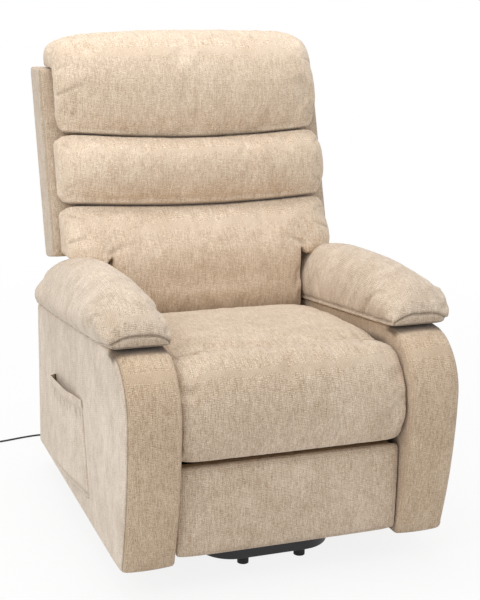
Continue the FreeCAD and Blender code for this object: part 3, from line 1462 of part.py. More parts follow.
def least_gap(arcs, diameter):
    """Smallest free distance between turns, on points along the arcs."""
    samples = []
    travelled = 0.0
    for piece in arcs:
        for part in range(6):
            share = part / 6
            at = piece.value(piece.FirstParameter + share * (piece.LastParameter - piece.FirstParameter))
            samples.append((travelled + share * piece.length(), at))
        travelled += piece.length()
    least = 1e9
    for index, (along, spot) in enumerate(samples):
        for other_along, other in samples[index + 1:]:
            if other_along - along > 3 * diameter:
                least = min(least, (other - spot).Length - diameter)
    return least, travelled


def make_cord(exit_point):
    """Gland, free stretch, coil and plug of the mains cord."""
    shift = S.front_line.number
    radius = S.cord.number
    gland_length = CORD_ROUTE[0][1] - exit_point[1]
    gland_spot = Vector(exit_point[0], exit_point[1] - shift, exit_point[2])
    gland = Part.makeCone(radius + 3.2, radius + 0.9, gland_length, gland_spot, Vector(0, 1, 0))
    node(solid("cord_gland", gland), "cord_gland")
    path, radii = cord_path(CORD_ROUTE)
    tube = tube_along(path, radius)
    section = pi * radius * radius
    print("cord radii", [round(value, 1) for value in radii])
    print("cord tube volume", round(tube.Volume), "section times length", round(section * path.Length),
          "length", round(path.Length))
    node(solid("mains_cord", tube), "mains_cord")
    make_coil(CORD_ROUTE[-1])


def make_coil(entry):
    """The put-away length as one tube of turns in two layers, and the plug beside it."""
    radius = S.cord.number
    points = coil_points(entry)
    arcs = coil_path(points)
    tail_end = points[-1] - Vector(COIL_TAIL, 0, 0)
    arcs.append(Part.LineSegment(points[-1], tail_end))
    gap, length = least_gap(arcs, 2 * radius)
    print("coil length", round(length), "least gap", round(gap, 2))
    path = Part.Wire([piece.toShape() for piece in arcs])
    node(solid("cord_coil", tube_along(path, radius)), "cord_coil")
    make_plug(tail_end)


def make_plug(entry):
    """Flat two-pin plug that lies on the floor at the coil's end."""
    half_height = entry.z - 0.3
    wide = 35.0
    long = 37.0
    relief = 16.0
    start = entry.x - relief
    body = Part.makeBox(long, wide, 2 * half_height, Vector(start - long, entry.y - wide / 2, 0.3))
    body = body.makeFillet(half_height * 0.6, [edge for edge in body.Edges if edge.Length > 30])
    sleeve = Part.makeCone(S.cord.number + 2.6, S.cord.number + 0.6, relief, Vector(start, entry.y, entry.z),
                           Vector(1, 0, 0))
    pins = [Part.makeCylinder(2.0, 19, Vector(start - long, entry.y + side, entry.z), Vector(-1, 0, 0))
            for side in (-9.3, 9.3)]
    node(solid("mains_plug", body.fuse([sleeve] + pins)), "mains_plug")


def make_actuators():
    """Three linear actuators with their brackets: lift, footrest and back."""
    low = S.foot_height.number + S.tube.number
    rear_face = S.base_rear.number
    eye_bracket("lift_motor_bracket", LIFT_MOUNT, 0.0, (rear_face - 14, low), (rear_face + 10, low))
    face = FOOT_MOUNT[0] + BRACKET_REACH - S.cross_tube.number / 2
    eye_bracket("footrest_motor_bracket", FOOT_MOUNT, -S.side_motor_offset.number, (face, FOOT_MOUNT[1] - 12),
                (face, FOOT_MOUNT[1] + 12))
    under = BACK_MOUNT[1] + BRACKET_RISE - S.cross_tube.number / 2
    eye_bracket("back_motor_bracket", BACK_MOUNT, S.side_motor_offset.number, (BACK_MOUNT[0] - 12, under),
                (BACK_MOUNT[0] + 12, under))
    rows = (("lift", LIFT_MOUNT, LIFT_CRANK, LIFT.axis, LIFT_SWING, 0.0),
            ("footrest", FOOT_MOUNT, FOOT_CRANK, FOOT.axis, FOOT.turn, -S.side_motor_offset.number),
            ("back", BACK_MOUNT, BACK_CRANK, RECLINE_AXIS, -RECLINE_TILT, S.side_motor_offset.number))
    for name, mount, crank, axis, swing, x in rows:
        far = moved(axis, turned(between(axis, crank), swing))
        stroke = distance(mount, far) - distance(mount, crank)
        turn = heading(mount, far) - heading(mount, crank)
        print(name, "actuator mount", mount, "stroke", round(stroke, 3), "turn", round(turn, 4))
        make_actuator(name, mount, crank, x, stroke)


def make_back_tube():
    """Torque tube between the back's brackets, on the hinge's axis."""
    reach = S.back_frame_half
    spot = (-reach, depth(S.recline_axis_depth), S.recline_axis_height)
    node(hollow_bar("back_torque_tube", S.recline_tube, reach * 2, spot), "back_torque_tube")


def report_linkages():
    shift = S.front_line.number
    rows = (("lift axis", LIFT.axis), ("lift head", LIFT.head), ("rear axis", LIFT.rear_axis),
            ("rear head", LIFT.rear_head), ("footrest axis", FOOT.axis), ("footrest knee", FOOT.knee),
            ("footrest head", FOOT.head), ("recline axis", RECLINE_AXIS), ("lift crank", LIFT_CRANK),
            ("footrest crank", FOOT_CRANK), ("back crank", BACK_CRANK))
    for name, point in rows:
        print(name, round(point[0] - shift, 4), round(point[1], 4))
    print("rear swing", round(LIFT.rear_swing, 4), "footrest turn", round(FOOT.turn, 4))


def export():
    doc.recompute()
    for thing in doc.Objects:
        if "Invalid" in thing.State or "Error" in thing.State:
            raise RuntimeError("%s is in error" % thing.Name)
    for thing in NODES:
        if thing.Shape.isNull() or not thing.Shape.isValid():
            raise RuntimeError("%s has no valid shape" % thing.Label)
    os.makedirs("parts", exist_ok=True)
    for thing in NODES:
        thing.Shape.exportStep("parts/%s.step" % thing.Label)
    print(len(NODES), "pieces")


make_base()
make_lift_links()
make_plates()
make_actuators()
make_seat()
make_arms()
make_footrest()
make_back()
make_back_tube()
make_pocket()
make_handset()
make_cord(make_supply())
report_linkages()
export()
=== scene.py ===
import json
from math import atan2, cos, exp, hypot, pi, radians, sin

import bmesh
import bpy
import numpy as np
from mathutils import Matrix, Vector
from mathutils.bvhtree import BVHTree
from mathutils.kdtree import KDTree


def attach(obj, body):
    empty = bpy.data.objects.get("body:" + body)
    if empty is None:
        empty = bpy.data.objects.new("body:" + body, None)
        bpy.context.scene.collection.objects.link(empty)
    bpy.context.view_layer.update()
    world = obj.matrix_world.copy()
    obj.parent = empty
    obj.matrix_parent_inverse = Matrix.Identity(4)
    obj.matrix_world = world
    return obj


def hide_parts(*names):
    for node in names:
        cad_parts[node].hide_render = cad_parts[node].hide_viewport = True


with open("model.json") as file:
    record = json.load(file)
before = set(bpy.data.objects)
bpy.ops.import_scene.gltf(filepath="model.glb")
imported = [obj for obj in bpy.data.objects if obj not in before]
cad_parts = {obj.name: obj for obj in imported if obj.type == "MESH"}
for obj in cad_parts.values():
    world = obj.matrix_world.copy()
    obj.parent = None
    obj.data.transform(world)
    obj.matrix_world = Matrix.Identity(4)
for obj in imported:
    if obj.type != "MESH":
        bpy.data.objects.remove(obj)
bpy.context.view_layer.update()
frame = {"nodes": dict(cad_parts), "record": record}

# Lift recliner chair, in metres. +X is to the sitter's left, +Y to the back and +Z up.
# Depths are counted backwards from the foot of the arm fronts, as in the part's source.

FRONT_LINE = 0.412265


def spot(x, depth, height):
    """A point of the frame from its X, its depth and its height."""
    return Vector((x, depth - FRONT_LINE, height))


# Camera, fitted to the photograph
CAMERA_SPOT = Vector((-0.97232, -2.666175, 1.23569))
CAMERA_YAW = radians(20.68)
CAMERA_PITCH = radians(14.49)
CAMERA_ROLL = radians(1.24)
CAMERA_LENS = 76.08


def make_camera():
    forward = Vector((sin(CAMERA_YAW) * cos(CAMERA_PITCH), cos(CAMERA_YAW) * cos(CAMERA_PITCH), -sin(CAMERA_PITCH)))
    right = Vector((cos(CAMERA_YAW), -sin(CAMERA_YAW), 0))
    up = right.cross(forward)
    rolled_right = right * cos(CAMERA_ROLL) + up * sin(CAMERA_ROLL)
    rolled_up = up * cos(CAMERA_ROLL) - right * sin(CAMERA_ROLL)
    turn = Matrix((rolled_right, rolled_up, -forward)).transposed().to_4x4()
    data = bpy.data.cameras.new("camera")
    data.lens = CAMERA_LENS
    camera = bpy.data.objects.new("camera", data)
    camera.matrix_world = Matrix.Translation(CAMERA_SPOT) @ turn
    bpy.context.scene.collection.objects.link(camera)
    bpy.context.scene.camera = camera


# Mains cord: the route from the power supply, then the coil, then the plug

CORD_ROUTE = [
    (-0.150, 0.786, 0.058), (-0.150, 0.806, 0.058), (-0.151, 0.829, 0.048), (-0.156, 0.851, 0.030),
    (-0.166, 0.872, 0.0125), (-0.184, 0.897, 0.003), (-0.212, 0.926, 0.003), (-0.246, 0.955, 0.003),
    (-0.286, 0.975, 0.003), (-0.331, 0.981, 0.003), (-0.378, 0.974, 0.003), (-0.424, 0.962, 0.003),
    (-0.468, 0.958, 0.003), (-0.508, 0.958, 0.003),
]
CORD_DIAMETER = 0.005
COIL_MIDDLE = 0.026
COIL_PITCH = 0.0066
COIL_LAYER_TURNS = 3.75
COIL_CLIMB_TURNS = 0.5
COIL_STEPS = 24
COIL_TAIL = 0.048


def coil_spots(entry):
    """The coil's points: inwards on the floor, up by a layer and outwards again."""
    outer = COIL_MIDDLE + COIL_PITCH * COIL_LAYER_TURNS / 2
    centre = entry - Vector((0, outer, 0))
    turns = 2 * COIL_LAYER_TURNS + COIL_CLIMB_TURNS
    spots = []
    for step in range(1, round(turns * COIL_STEPS)):
        gone = step / COIL_STEPS
        inward = min(gone, COIL_LAYER_TURNS)
        climb = min(max(gone - COIL_LAYER_TURNS, 0), COIL_CLIMB_TURNS) / COIL_CLIMB_TURNS
        outward = max(gone - COIL_LAYER_TURNS - COIL_CLIMB_TURNS, 0)
        radius = outer + COIL_PITCH * (outward - inward)
        angle = pi / 2 + 2 * pi * gone
        spots.append(centre + Vector((radius * cos(angle), radius * sin(angle), climb * COIL_PITCH)))
    end = entry + Vector((0, 0, COIL_PITCH))
    return spots + [end, end - Vector((COIL_TAIL / 2, 0, 0)), end - Vector((COIL_TAIL, 0, 0))]


def make_cord():
    route = [spot(*point) for point in CORD_ROUTE]
    points = route + coil_spots(route[-1])
    data = bpy.data.curves.new("mains_lead", "CURVE")
    data.dimensions = "3D"
    spline = data.splines.new("NURBS")
    spline.points.add(len(points) - 1)
    for place, point in zip(spline.points, points):
        place.co = (*point, 1.0)
    spline.order_u = 3
    spline.use_endpoint_u = True
    spline.resolution_u = 6
    data.bevel_depth = CORD_DIAMETER / 2
    data.bevel_resolution = 3
    data.use_fill_caps = True
    cord = bpy.data.objects.new("mains_lead", data)
    bpy.context.scene.collection.objects.link(cord)
    data.materials.append(materials["cord_plastic"])
    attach(cord, "base")
    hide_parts("mains_cord", "cord_coil")


# Shader groups: weave, slubs and blotches of the upholstery, and wear and grain of the hard parts


class Graph:
    """Short ways to add and join shader nodes."""

    def __init__(self, tree):
        self.tree = tree

    def add(self, kind, **values):
        made = self.tree.nodes.new(kind)
        for name, value in values.items():
            setattr(made, name, value)
        return made

    def feed(self, target, value):
        if isinstance(value, bpy.types.NodeSocket):
            self.tree.links.new(value, target)
        else:
            target.default_value = value

    def math(self, operation, *values):
        made = self.add("ShaderNodeMath", operation=operation)
        for target, value in zip(made.inputs, values):
            self.feed(target, value)
        return made.outputs[0]

    def vector(self, operation, *values):
        made = self.add("ShaderNodeVectorMath", operation=operation)
        for target, value in zip(made.inputs, values):
            self.feed(target, value)
        return made.outputs[0]

    def vector_length(self, value):
        made = self.add("ShaderNodeVectorMath", operation="LENGTH")
        self.feed(made.inputs[0], value)
        return made.outputs["Value"]

    def noise(self, place, scale, detail=2.0, rough=0.5, distortion=0.0):
        made = self.add("ShaderNodeTexNoise")
        self.feed(made.inputs["Vector"], place)
        self.feed(made.inputs["Scale"], scale)
        self.feed(made.inputs["Detail"], detail)
        self.feed(made.inputs["Roughness"], rough)
        self.feed(made.inputs["Distortion"], distortion)
        return made.outputs[0]

    def mix(self, share, low, high):
        """Between two numbers."""
        made = self.add("ShaderNodeMix", data_type="FLOAT")
        self.feed(made.inputs[0], share)
        self.feed(made.inputs[2], low)
        self.feed(made.inputs[3], high)
        return made.outputs[0]

    def blend(self, share, low, high):
        """Between two colours."""
        made = self.add("ShaderNodeMix", data_type="RGBA")
        self.feed(made.inputs[0], share)
        self.feed(made.inputs[6], low)
        self.feed(made.inputs[7], high)
        return made.outputs[2]

    def spread(self, value, low, high, to_low=0.0, to_high=1.0):
        made = self.add("ShaderNodeMapRange")
        for name, number in (("Value", value), ("From Min", low), ("From Max", high), ("To Min", to_low),
                             ("To Max", to_high)):
            self.feed(made.inputs[name], number)
        return made.outputs[0]


def new_group(name, inputs, outputs):
    tree = bpy.data.node_groups.new(name, "ShaderNodeTree")
    for label, kind, value in inputs:
        socket = tree.interface.new_socket(label, in_out="INPUT", socket_type=kind)
        if value is not None:
            socket.default_value = value
    for label, kind in outputs:
        tree.interface.new_socket(label, in_out="OUTPUT", socket_type=kind)
    graph = Graph(tree)
    return graph, graph.add("NodeGroupInput").outputs, graph.add("NodeGroupOutput").inputs


NUMBER = "NodeSocketFloat"
VECTOR = "NodeSocketVector"


def chenille_group():
    """Woven chenille: threads both ways, long slubs and blotches where the pile lies another way."""
    graph, given, result = new_group(
        "chenille",
        [("Place", VECTOR, None), ("Thread", NUMBER, 0.0033), ("Slub", NUMBER, 1.0), ("Blotch", NUMBER, 1.0)],
        [("Shade", NUMBER), ("Height", NUMBER), ("Pile", NUMBER)])
    split = graph.add("ShaderNodeSeparateXYZ")
    graph.feed(split.inputs[0], given["Place"])
    x, y, z = split.outputs
    facing = graph.add("ShaderNodeSeparateXYZ")
    geometry = graph.add("ShaderNodeNewGeometry")
    graph.feed(facing.inputs[0], geometry.outputs["Normal"])
    sideways = graph.spread(graph.math("ABSOLUTE", facing.outputs[0]), 0.62, 0.74)
    level = graph.spread(graph.math("ABSOLUTE", facing.outputs[2]), 0.62, 0.74)
    across = graph.mix(sideways, x, y)
    along = graph.mix(level, z, graph.mix(sideways, y, z))

    def plane(across_scale, along_scale, offset):
        made = graph.add("ShaderNodeCombineXYZ")
        graph.feed(made.inputs[0], graph.math("MULTIPLY", across, across_scale))
        graph.feed(made.inputs[1], graph.math("MULTIPLY", along, along_scale))
        graph.feed(made.inputs[2], offset)
        return made.outputs[0]

    warp_slubs = graph.noise(plane(400.0, 52.0, 1.7), 1.0, 2.0, 0.55)
    weft_slubs = graph.noise(plane(80.0, 400.0, 5.3), 1.0, 2.0, 0.55)
    fleck = graph.noise(plane(430.0, 400.0, 9.1), 1.0, 2.0, 0.55)
    turn = graph.math("DIVIDE", pi, given["Thread"])
    warp = graph.math("ABSOLUTE", graph.math("SINE", graph.math("MULTIPLY", across, turn)))
    weft = graph.math("ABSOLUTE", graph.math("SINE", graph.math("MULTIPLY", along, turn)))
    half_turn = graph.math("MULTIPLY", turn, 0.5)
    over = graph.math("MULTIPLY", graph.math("SINE", graph.math("MULTIPLY", across, half_turn)),
                      graph.math("SINE", graph.math("MULTIPLY", along, half_turn)))
    over = graph.spread(over, -0.35, 0.35)
    threads = graph.mix(over, graph.math("MULTIPLY", warp, 0.85), weft)
    brushed = graph.vector("MULTIPLY", given["Place"], (1.3, 1.3, 0.8))
    blotch = graph.noise(brushed, 18.0, 6.0, 0.7, 0.4)
    blotch = graph.math("MULTIPLY", graph.math("SUBTRACT", blotch, 0.5), given["Blotch"])
    broad = graph.math("SUBTRACT", graph.noise(given["Place"], 5.0, 2.0, 0.5, 0.3), 0.5)
    slubs = graph.math("ADD", graph.math("SUBTRACT", warp_slubs, 0.5),
                       graph.math("MULTIPLY", graph.math("SUBTRACT", weft_slubs, 0.5), 0.55))
    slubs = graph.math("MULTIPLY", slubs, given["Slub"])
    shade = graph.math("ADD", graph.math("MULTIPLY", slubs, 0.9), graph.math("MULTIPLY", blotch, 1.3))
    shade = graph.math("ADD", shade, graph.math("MULTIPLY", graph.math("SUBTRACT", fleck, 0.5), 1.1))
    shade = graph.math("ADD", shade, graph.math("MULTIPLY", broad, 0.3))
    shade = graph.math("ADD", shade, graph.math("MULTIPLY", graph.math("SUBTRACT", threads, 0.55), 0.5))
    graph.feed(result["Shade"], graph.math("ADD", shade, 0.5))
    height = graph.math("ADD", threads, graph.math("MULTIPLY", fleck, 0.8))
    graph.feed(result["Height"], graph.math("ADD", height, slubs))
    graph.feed(result["Pile"], graph.math("ADD", blotch, 0.5))
    return graph.tree


def wear_group():
    """Paint and plastic: fine grain, broad dullness and edges rubbed a little."""
    graph, given, result = new_group(
        "wear", [("Grain", NUMBER, 900.0), ("Rub", NUMBER, 0.5)],
        [("Rough", NUMBER), ("Edge", NUMBER), ("Height", NUMBER)])
    place = graph.add("ShaderNodeTexCoord").outputs["Object"]
    fine = graph.noise(place, given["Grain"], 3.0, 0.55)
    broad = graph.noise(place, 14.0, 4.0, 0.6)
    geometry = graph.add("ShaderNodeNewGeometry")
    edge = graph.spread(geometry.outputs["Pointiness"], 0.52, 0.62)
    scuffed = graph.math("MULTIPLY", edge, graph.spread(graph.noise(place, 60.0, 3.0, 0.6), 0.45, 0.62))
    graph.feed(result["Edge"], graph.math("MULTIPLY", scuffed, given["Rub"]))
    rough = graph.math("ADD", graph.math("MULTIPLY", broad, 0.25), graph.math("MULTIPLY", fine, 0.12))
    graph.feed(result["Rough"], rough)
    graph.feed(result["Height"], fine)
    return graph.tree


groups = {"chenille": chenille_group(), "wear": wear_group()}
materials = {}


def new_material(name):
    material = bpy.data.materials.new(name)
    material.use_nodes = True
    graph = Graph(material.node_tree)
    principled = next(node for node in material.node_tree.nodes if node.type == "BSDF_PRINCIPLED")
    materials[name] = material
    return graph, principled.inputs


def use_group(graph, name, **values):
    made = graph.add("ShaderNodeGroup", node_tree=groups[name])
    for label, value in values.items():
        graph.feed(made.inputs[label], value)
    return made.outputs


def bump(graph, height, distance, strength=1.0):
    made = graph.add("ShaderNodeBump")
    graph.feed(made.inputs["Height"], height)
    graph.feed(made.inputs["Distance"], distance)
    graph.feed(made.inputs["Strength"], strength)
    return made.outputs[0]


# Colour of the painted shade that darkens the cloth in seams, creases and other shaded places
PAINTED_CREASE_SHADE = (0.10, 0.058, 0.03)


def cloth_material(name, dark, light, blotch, slub=1.0, lean=0.0):
    """Upholstery cloth, darker with painted shade in its seams and creases; lean turns its threads with a back that
    leans.
    """
    graph, shader = new_material(name)
    place = graph.add("ShaderNodeTexCoord").outputs["Object"]
    turned = graph.add("ShaderNodeMapping")
    graph.feed(turned.inputs["Vector"], place)
    turned.inputs["Rotation"].default_value = (lean, 0, 0)
    weave = use_group(graph, "chenille", Place=turned.outputs[0], Blotch=blotch, Slub=slub)
    ramp = graph.add("ShaderNodeValToRGB")
    ramp.color_ramp.elements[0].position = 0.08
    ramp.color_ramp.elements[0].color = (*dark, 1)
    ramp.color_ramp.elements[1].position = 0.92
    ramp.color_ramp.elements[1].color = (*light, 1)
    graph.feed(ramp.inputs[0], weave["Shade"])
    # The seam attribute holds painted shade: where it is high, the cloth is blended towards the crease shade colour
    seam = graph.add("ShaderNodeAttribute", attribute_name="seam").outputs["Fac"]
    graph.feed(shader["Base Color"], graph.blend(seam, ramp.outputs[0], (*PAINTED_CREASE_SHADE, 1)))
    graph.feed(shader["Roughness"], graph.spread(weave["Pile"], 0.2, 0.8, 0.95, 0.8))
    graph.feed(shader["Normal"], bump(graph, weave["Height"], 0.00055))
    shader["Sheen Weight"].default_value = 0.4
    shader["Sheen Roughness"].default_value = 0.45
    shader["Sheen Tint"].default_value = (1.0, 0.97, 0.93, 1)
    shader["Specular IOR Level"].default_value = 0.15


def hard_material(name, colour, rough, metal=0.0, grain=900.0, rub=0.4, rubbed=(0.35, 0.35, 0.36), depth=0.00004,
                  coat=0.0):
    graph, shader = new_material(name)
    wear = use_group(graph, "wear", Grain=grain, Rub=rub)
    graph.feed(shader["Base Color"], graph.blend(wear["Edge"], (*colour, 1), (*rubbed, 1)))
    graph.feed(shader["Roughness"], graph.math("ADD", wear["Rough"], rough))
    graph.feed(shader["Normal"], bump(graph, wear["Height"], depth))
    shader["Metallic"].default_value = metal
    shader["Coat Weight"].default_value = coat


def wood_material():
    graph, shader = new_material("plywood")
    place = graph.add("ShaderNodeTexCoord").outputs["Object"]
    stretched = graph.add("ShaderNodeMapping")
    graph.feed(stretched.inputs["Vector"], place)
    stretched.inputs["Scale"].default_value = (1.2, 22, 22)
    grain = graph.noise(stretched.outputs[0], 4.0, 5.0, 0.6, 0.8)
    ramp = graph.add("ShaderNodeValToRGB")
    ramp.color_ramp.elements[0].position = 0.3
    ramp.color_ramp.elements[0].color = (0.44, 0.29, 0.16, 1)
    ramp.color_ramp.elements[1].position = 0.7
    ramp.color_ramp.elements[1].color = (0.60, 0.43, 0.26, 1)
    graph.feed(ramp.inputs[0], grain)
    graph.feed(shader["Base Color"], ramp.outputs[0])
    graph.feed(shader["Normal"], bump(graph, grain, 0.0002))
    graph.feed(shader["Roughness"], graph.spread(grain, 0.3, 0.7, 0.75, 0.6))


BACK_LEAN = radians(18.5)


def make_materials():
    """Each cloth has its dark and light threads and how blotched its pile is. The upholstery copies are one cloth,
    made paler on the back and sides and darker on the strip and slab, as painted light and shade for how light
    falls on each part.
    """
    cloth_material("upholstery", (0.38, 0.258, 0.156), (0.82, 0.69, 0.55), 0.4)
    cloth_material("strip_upholstery", (0.34, 0.222, 0.128), (0.75, 0.605, 0.45), 0.35)
    cloth_material("back_upholstery", (0.48, 0.34, 0.215), (0.95, 0.80, 0.64), 0.4, lean=BACK_LEAN)
    cloth_material("slab_upholstery", (0.37, 0.26, 0.165), (0.78, 0.66, 0.53), 0.45, lean=BACK_LEAN)
    cloth_material("pad_upholstery", (0.39, 0.28, 0.185), (0.82, 0.70, 0.57), 0.65, slub=0.9)
    cloth_material("side_upholstery", (0.48, 0.37, 0.27), (0.87, 0.755, 0.63), 0.9)
    # Near-black lining cloth, which stands in for the shadow in the gap under the seat's bolster
    cloth_material("lining", (0.006, 0.006, 0.006), (0.02, 0.02, 0.02), 0.5)
    cloth_material("thread", (0.50, 0.39, 0.28), (0.82, 0.72, 0.58), 0.2)
    wood_material()
    hard_material("base_steel", (0.009, 0.009, 0.010), 0.3, rub=0.05, coat=0.1)
    hard_material("mechanism_steel", (0.018, 0.018, 0.020), 0.35, rub=0.1)
    hard_material("bright_steel", (0.55, 0.55, 0.55), 0.25, metal=1.0, rubbed=(0.7, 0.7, 0.7), grain=400.0)
    hard_material("rod_steel", (0.66, 0.66, 0.67), 0.12, metal=1.0, rubbed=(0.8, 0.8, 0.8), grain=300.0)
    hard_material("motor_plastic", (0.03, 0.03, 0.033), 0.45, rubbed=(0.1, 0.1, 0.1), depth=0.0001)
    hard_material("cord_plastic", (0.012, 0.012, 0.013), 0.38, rubbed=(0.05, 0.05, 0.05))
    hard_material("foot_rubber", (0.014, 0.014, 0.014), 0.6, rubbed=(0.06, 0.06, 0.06), depth=0.0001)
    hard_material("handset_plastic", (0.025, 0.025, 0.028), 0.42, rubbed=(0.09, 0.09, 0.09), depth=0.00008)
    hard_material("button_plastic", (0.32, 0.32, 0.33), 0.4, rubbed=(0.5, 0.5, 0.5))


def dress_nodes():
    """Every CAD node that stays gets its finish by its slot in the record."""
    for entry in frame["record"]["subparts"]:
        node = frame["nodes"][entry["node"]]
        for slot in node.material_slots:
            slot.material = materials[entry["material_slot"]]


# Soft goods: every cover is an even mesh, swollen as cloth where it is stuffed, and then sewn

BACK_FOOT = spot(0, 0.581, 0.430)
SEAM_LOW = 0.275
SEAM_HIGH = 0.444
SEAM_DIP = 0.012
DROOP_HIGH = 0.012
DROOP_LOW = 0.007
CUSHION_HALF = 0.34


def on_slope(x, behind, along):
    """A point of the leaning back: X, distance behind its front plane and height along it."""
    return BACK_FOOT + Vector((x, behind * cos(BACK_LEAN) + along * sin(BACK_LEAN),
                               along * cos(BACK_LEAN) - behind * sin(BACK_LEAN)))


def in_slope(point):
    """X, distance behind the back's front plane and height along it of a point."""
    away = Vector(point) - BACK_FOOT
    return (away.x, away.y * cos(BACK_LEAN) - away.z * sin(BACK_LEAN),
            away.y * sin(BACK_LEAN) + away.z * cos(BACK_LEAN))


def seam_along(seam, x):
    """Height of a sagging seam between two back cushions."""
    return seam - SEAM_DIP * (1 - min(1.0, (x / CUSHION_HALF) ** 2))


def uneven(number, salt):
    """A number from 0 to 1 that looks random and is the same each time."""
    return (sin(number * 12.9898 + salt * 78.233) * 43758.5453) % 1.0


def grid_faces(rows, columns, first=0, closed=False):
    """Quads between the rows of a grid of points; a closed row's end joins its start."""
    faces = []
    for row in range(rows - 1):
        for step in range(columns if closed else columns - 1):
            one = first + row * columns + step
            two = first + row * columns + (step + 1) % columns
            faces.append((one, two, two + columns, one + columns))
    return faces


def new_piece(name, spots, faces, body):
    data = bpy.data.meshes.new(name)
    data.from_pydata([tuple(place) for place in spots], [], faces)
    data.validate()
    for face in data.polygons:
        face.use_smooth = True
    piece = bpy.data.objects.new(name, data)
    bpy.context.scene.collection.objects.link(piece)
    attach(piece, body)
    return piece


def whole_copy(node):
    """A free copy of a CAD node's mesh."""
    source = frame["nodes"][node]
    copy = bpy.data.objects.new(node + "_cover", source.data.copy())
    bpy.context.scene.collection.objects.link(copy)
    copy.data.materials.clear()
    return copy


def coords_of(piece):
    spots = np.empty(len(piece.data.vertices) * 3)
    piece.data.vertices.foreach_get("co", spots)
    return spots.reshape(-1, 3)


def normals_of(piece):
    ways = np.empty(len(piece.data.vertices) * 3)
    piece.data.vertex_normals.foreach_get("vector", ways)
    return ways.reshape(-1, 3)


def set_coords(piece, spots):
    piece.data.vertices.foreach_set("co", np.ascontiguousarray(spots).reshape(-1))
    piece.data.update()


def apply_modifiers(piece):
    bpy.context.view_layer.update()
    graph = bpy.context.evaluated_depsgraph_get()
    data = bpy.data.meshes.new_from_object(piece.evaluated_get(graph))
    piece.modifiers.clear()
    old = piece.data
    piece.data = data
    bpy.data.meshes.remove(old)


def remesh(piece, voxel):
    modifier = piece.modifiers.new("even", "REMESH")
    modifier.mode = "VOXEL"
    modifier.voxel_size = voxel
    modifier.use_smooth_shade = True
    apply_modifiers(piece)


def smooth(piece, times):
    mesh = bmesh.new()
    mesh.from_mesh(piece.data)
    for _ in range(times):
        bmesh.ops.smooth_vert(mesh, verts=mesh.verts, factor=0.5, use_axis_x=True, use_axis_y=True,
                              use_axis_z=True)
    mesh.to_mesh(piece.data)
    mesh.free()


def subdivide(piece):
    modifier = piece.modifiers.new("finer", "SUBSURF")
    modifier.levels = 1
    modifier.render_levels = 1
    apply_modifiers(piece)
    for face in piece.data.polygons:
        face.use_smooth = True


AIR_PRESSURE = 4.0
CLOTH_SLACK = 0.04
CLOTH_FRAMES = 16
FOLD_SHARE = 0.8
SWELL_SHARE = 0.15
BROAD_STEPS = 40


def averaged(piece, values, times):
    """Values of a mesh's points, evened out with those of their neighbours."""
    edges = np.empty(len(piece.data.edges) * 2, dtype=np.int64)
    piece.data.edges.foreach_get("vertices", edges)
    one, two = edges.reshape(-1, 2).T
    count = len(values)
    around = np.maximum(np.bincount(one, minlength=count) + np.bincount(two, minlength=count), 1)
    for _ in range(times):
        near = [np.bincount(one, weights=part[two], minlength=count)
                + np.bincount(two, weights=part[one], minlength=count) for part in values.T]
        values = 0.3 * values + 0.7 * np.stack(near, axis=1) / around[:, None]
    return values


def inflate(piece, grips, inward, cap):
    """Cloth under air pressure: grips say how firmly each point stays, and cap how far it may go.

    The cover keeps the solid's form and takes the cloth's folds and a part of its swelling.
    """
    full = coords_of(piece)
    start = coords_of(piece) - normals_of(piece) * (inward * (1 - grips))[:, None]
    set_coords(piece, start)
    group = piece.vertex_groups.new(name="held")
    for index in np.nonzero(grips > 0)[0]:
        group.add([int(index)], float(grips[index]), "REPLACE")
    modifier = piece.modifiers.new("cloth", "CLOTH")
    settings = modifier.settings
    settings.quality = 4
    settings.mass = 0.3
    settings.tension_stiffness = 12
    settings.compression_stiffness = 12
    settings.shear_stiffness = 5
    settings.bending_stiffness = 0.4
    settings.use_pressure = True
    settings.uniform_pressure_force = AIR_PRESSURE
    settings.shrink_min = -CLOTH_SLACK
    settings.vertex_group_mass = "held"
    settings.effector_weights.gravity = 0
    modifier.collision_settings.use_collision = False
    modifier.point_cache.frame_start = 1
    modifier.point_cache.frame_end = CLOTH_FRAMES
    scene = bpy.context.scene
    for number in range(1, CLOTH_FRAMES + 1):
        scene.frame_set(number)
    apply_modifiers(piece)
    scene.frame_set(1)
    piece.vertex_groups.clear()
    moves = coords_of(piece) - start
    lengths = np.maximum(np.linalg.norm(moves, axis=1), 1e-9)
    moves *= np.minimum(1.0, cap / lengths)[:, None]
    moves += start - full
    broad = averaged(piece, moves, BROAD_STEPS)
    set_coords(piece, full + (moves - broad) * FOLD_SHARE + broad * SWELL_SHARE)


def surface_of(piece):
    bpy.context.view_layer.update()
    return BVHTree.FromObject(piece, bpy.context.evaluated_depsgraph_get())


def even_spots(points, step):
    """Points about a step apart along a line, each with its share of the whole length."""
    points = [Vector(point) for point in points]
    lengths = [(after - before).length for before, after in zip(points, points[1:])]
    whole = sum(lengths)
    spots = []
    gone = 0.0
    for before, after, length in zip(points, points[1:], lengths):
        count = max(1, round(length / step))
        for number in range(count):
            share = number / count
            spots.append((before.lerp(after, share), (gone + length * share) / whole))
        gone += length
    return spots + [(points[-1], 1.0)]


FADES = {"even": lambda share: 1.0, "out": lambda share: (1 - share) ** 0.8,
         "both": lambda share: 4 * share * (1 - share)}
LINE_REACH = 2.6
# Depths at which a pressed seam or crease reaches full painted shade
SEAM_BLACK = 0.0030
CREASE_BLACK = 0.0090


def shade_seams(piece, shade):
    """Keep, as the seam attribute that the cloth's material reads, how much painted shade each point of a cover
    takes in a seam, crease or other shaded place.
    """
    kept = piece.data.attributes.new("seam", "FLOAT", "POINT")
    kept.data.foreach_set("value", np.clip(shade, 0, 1))


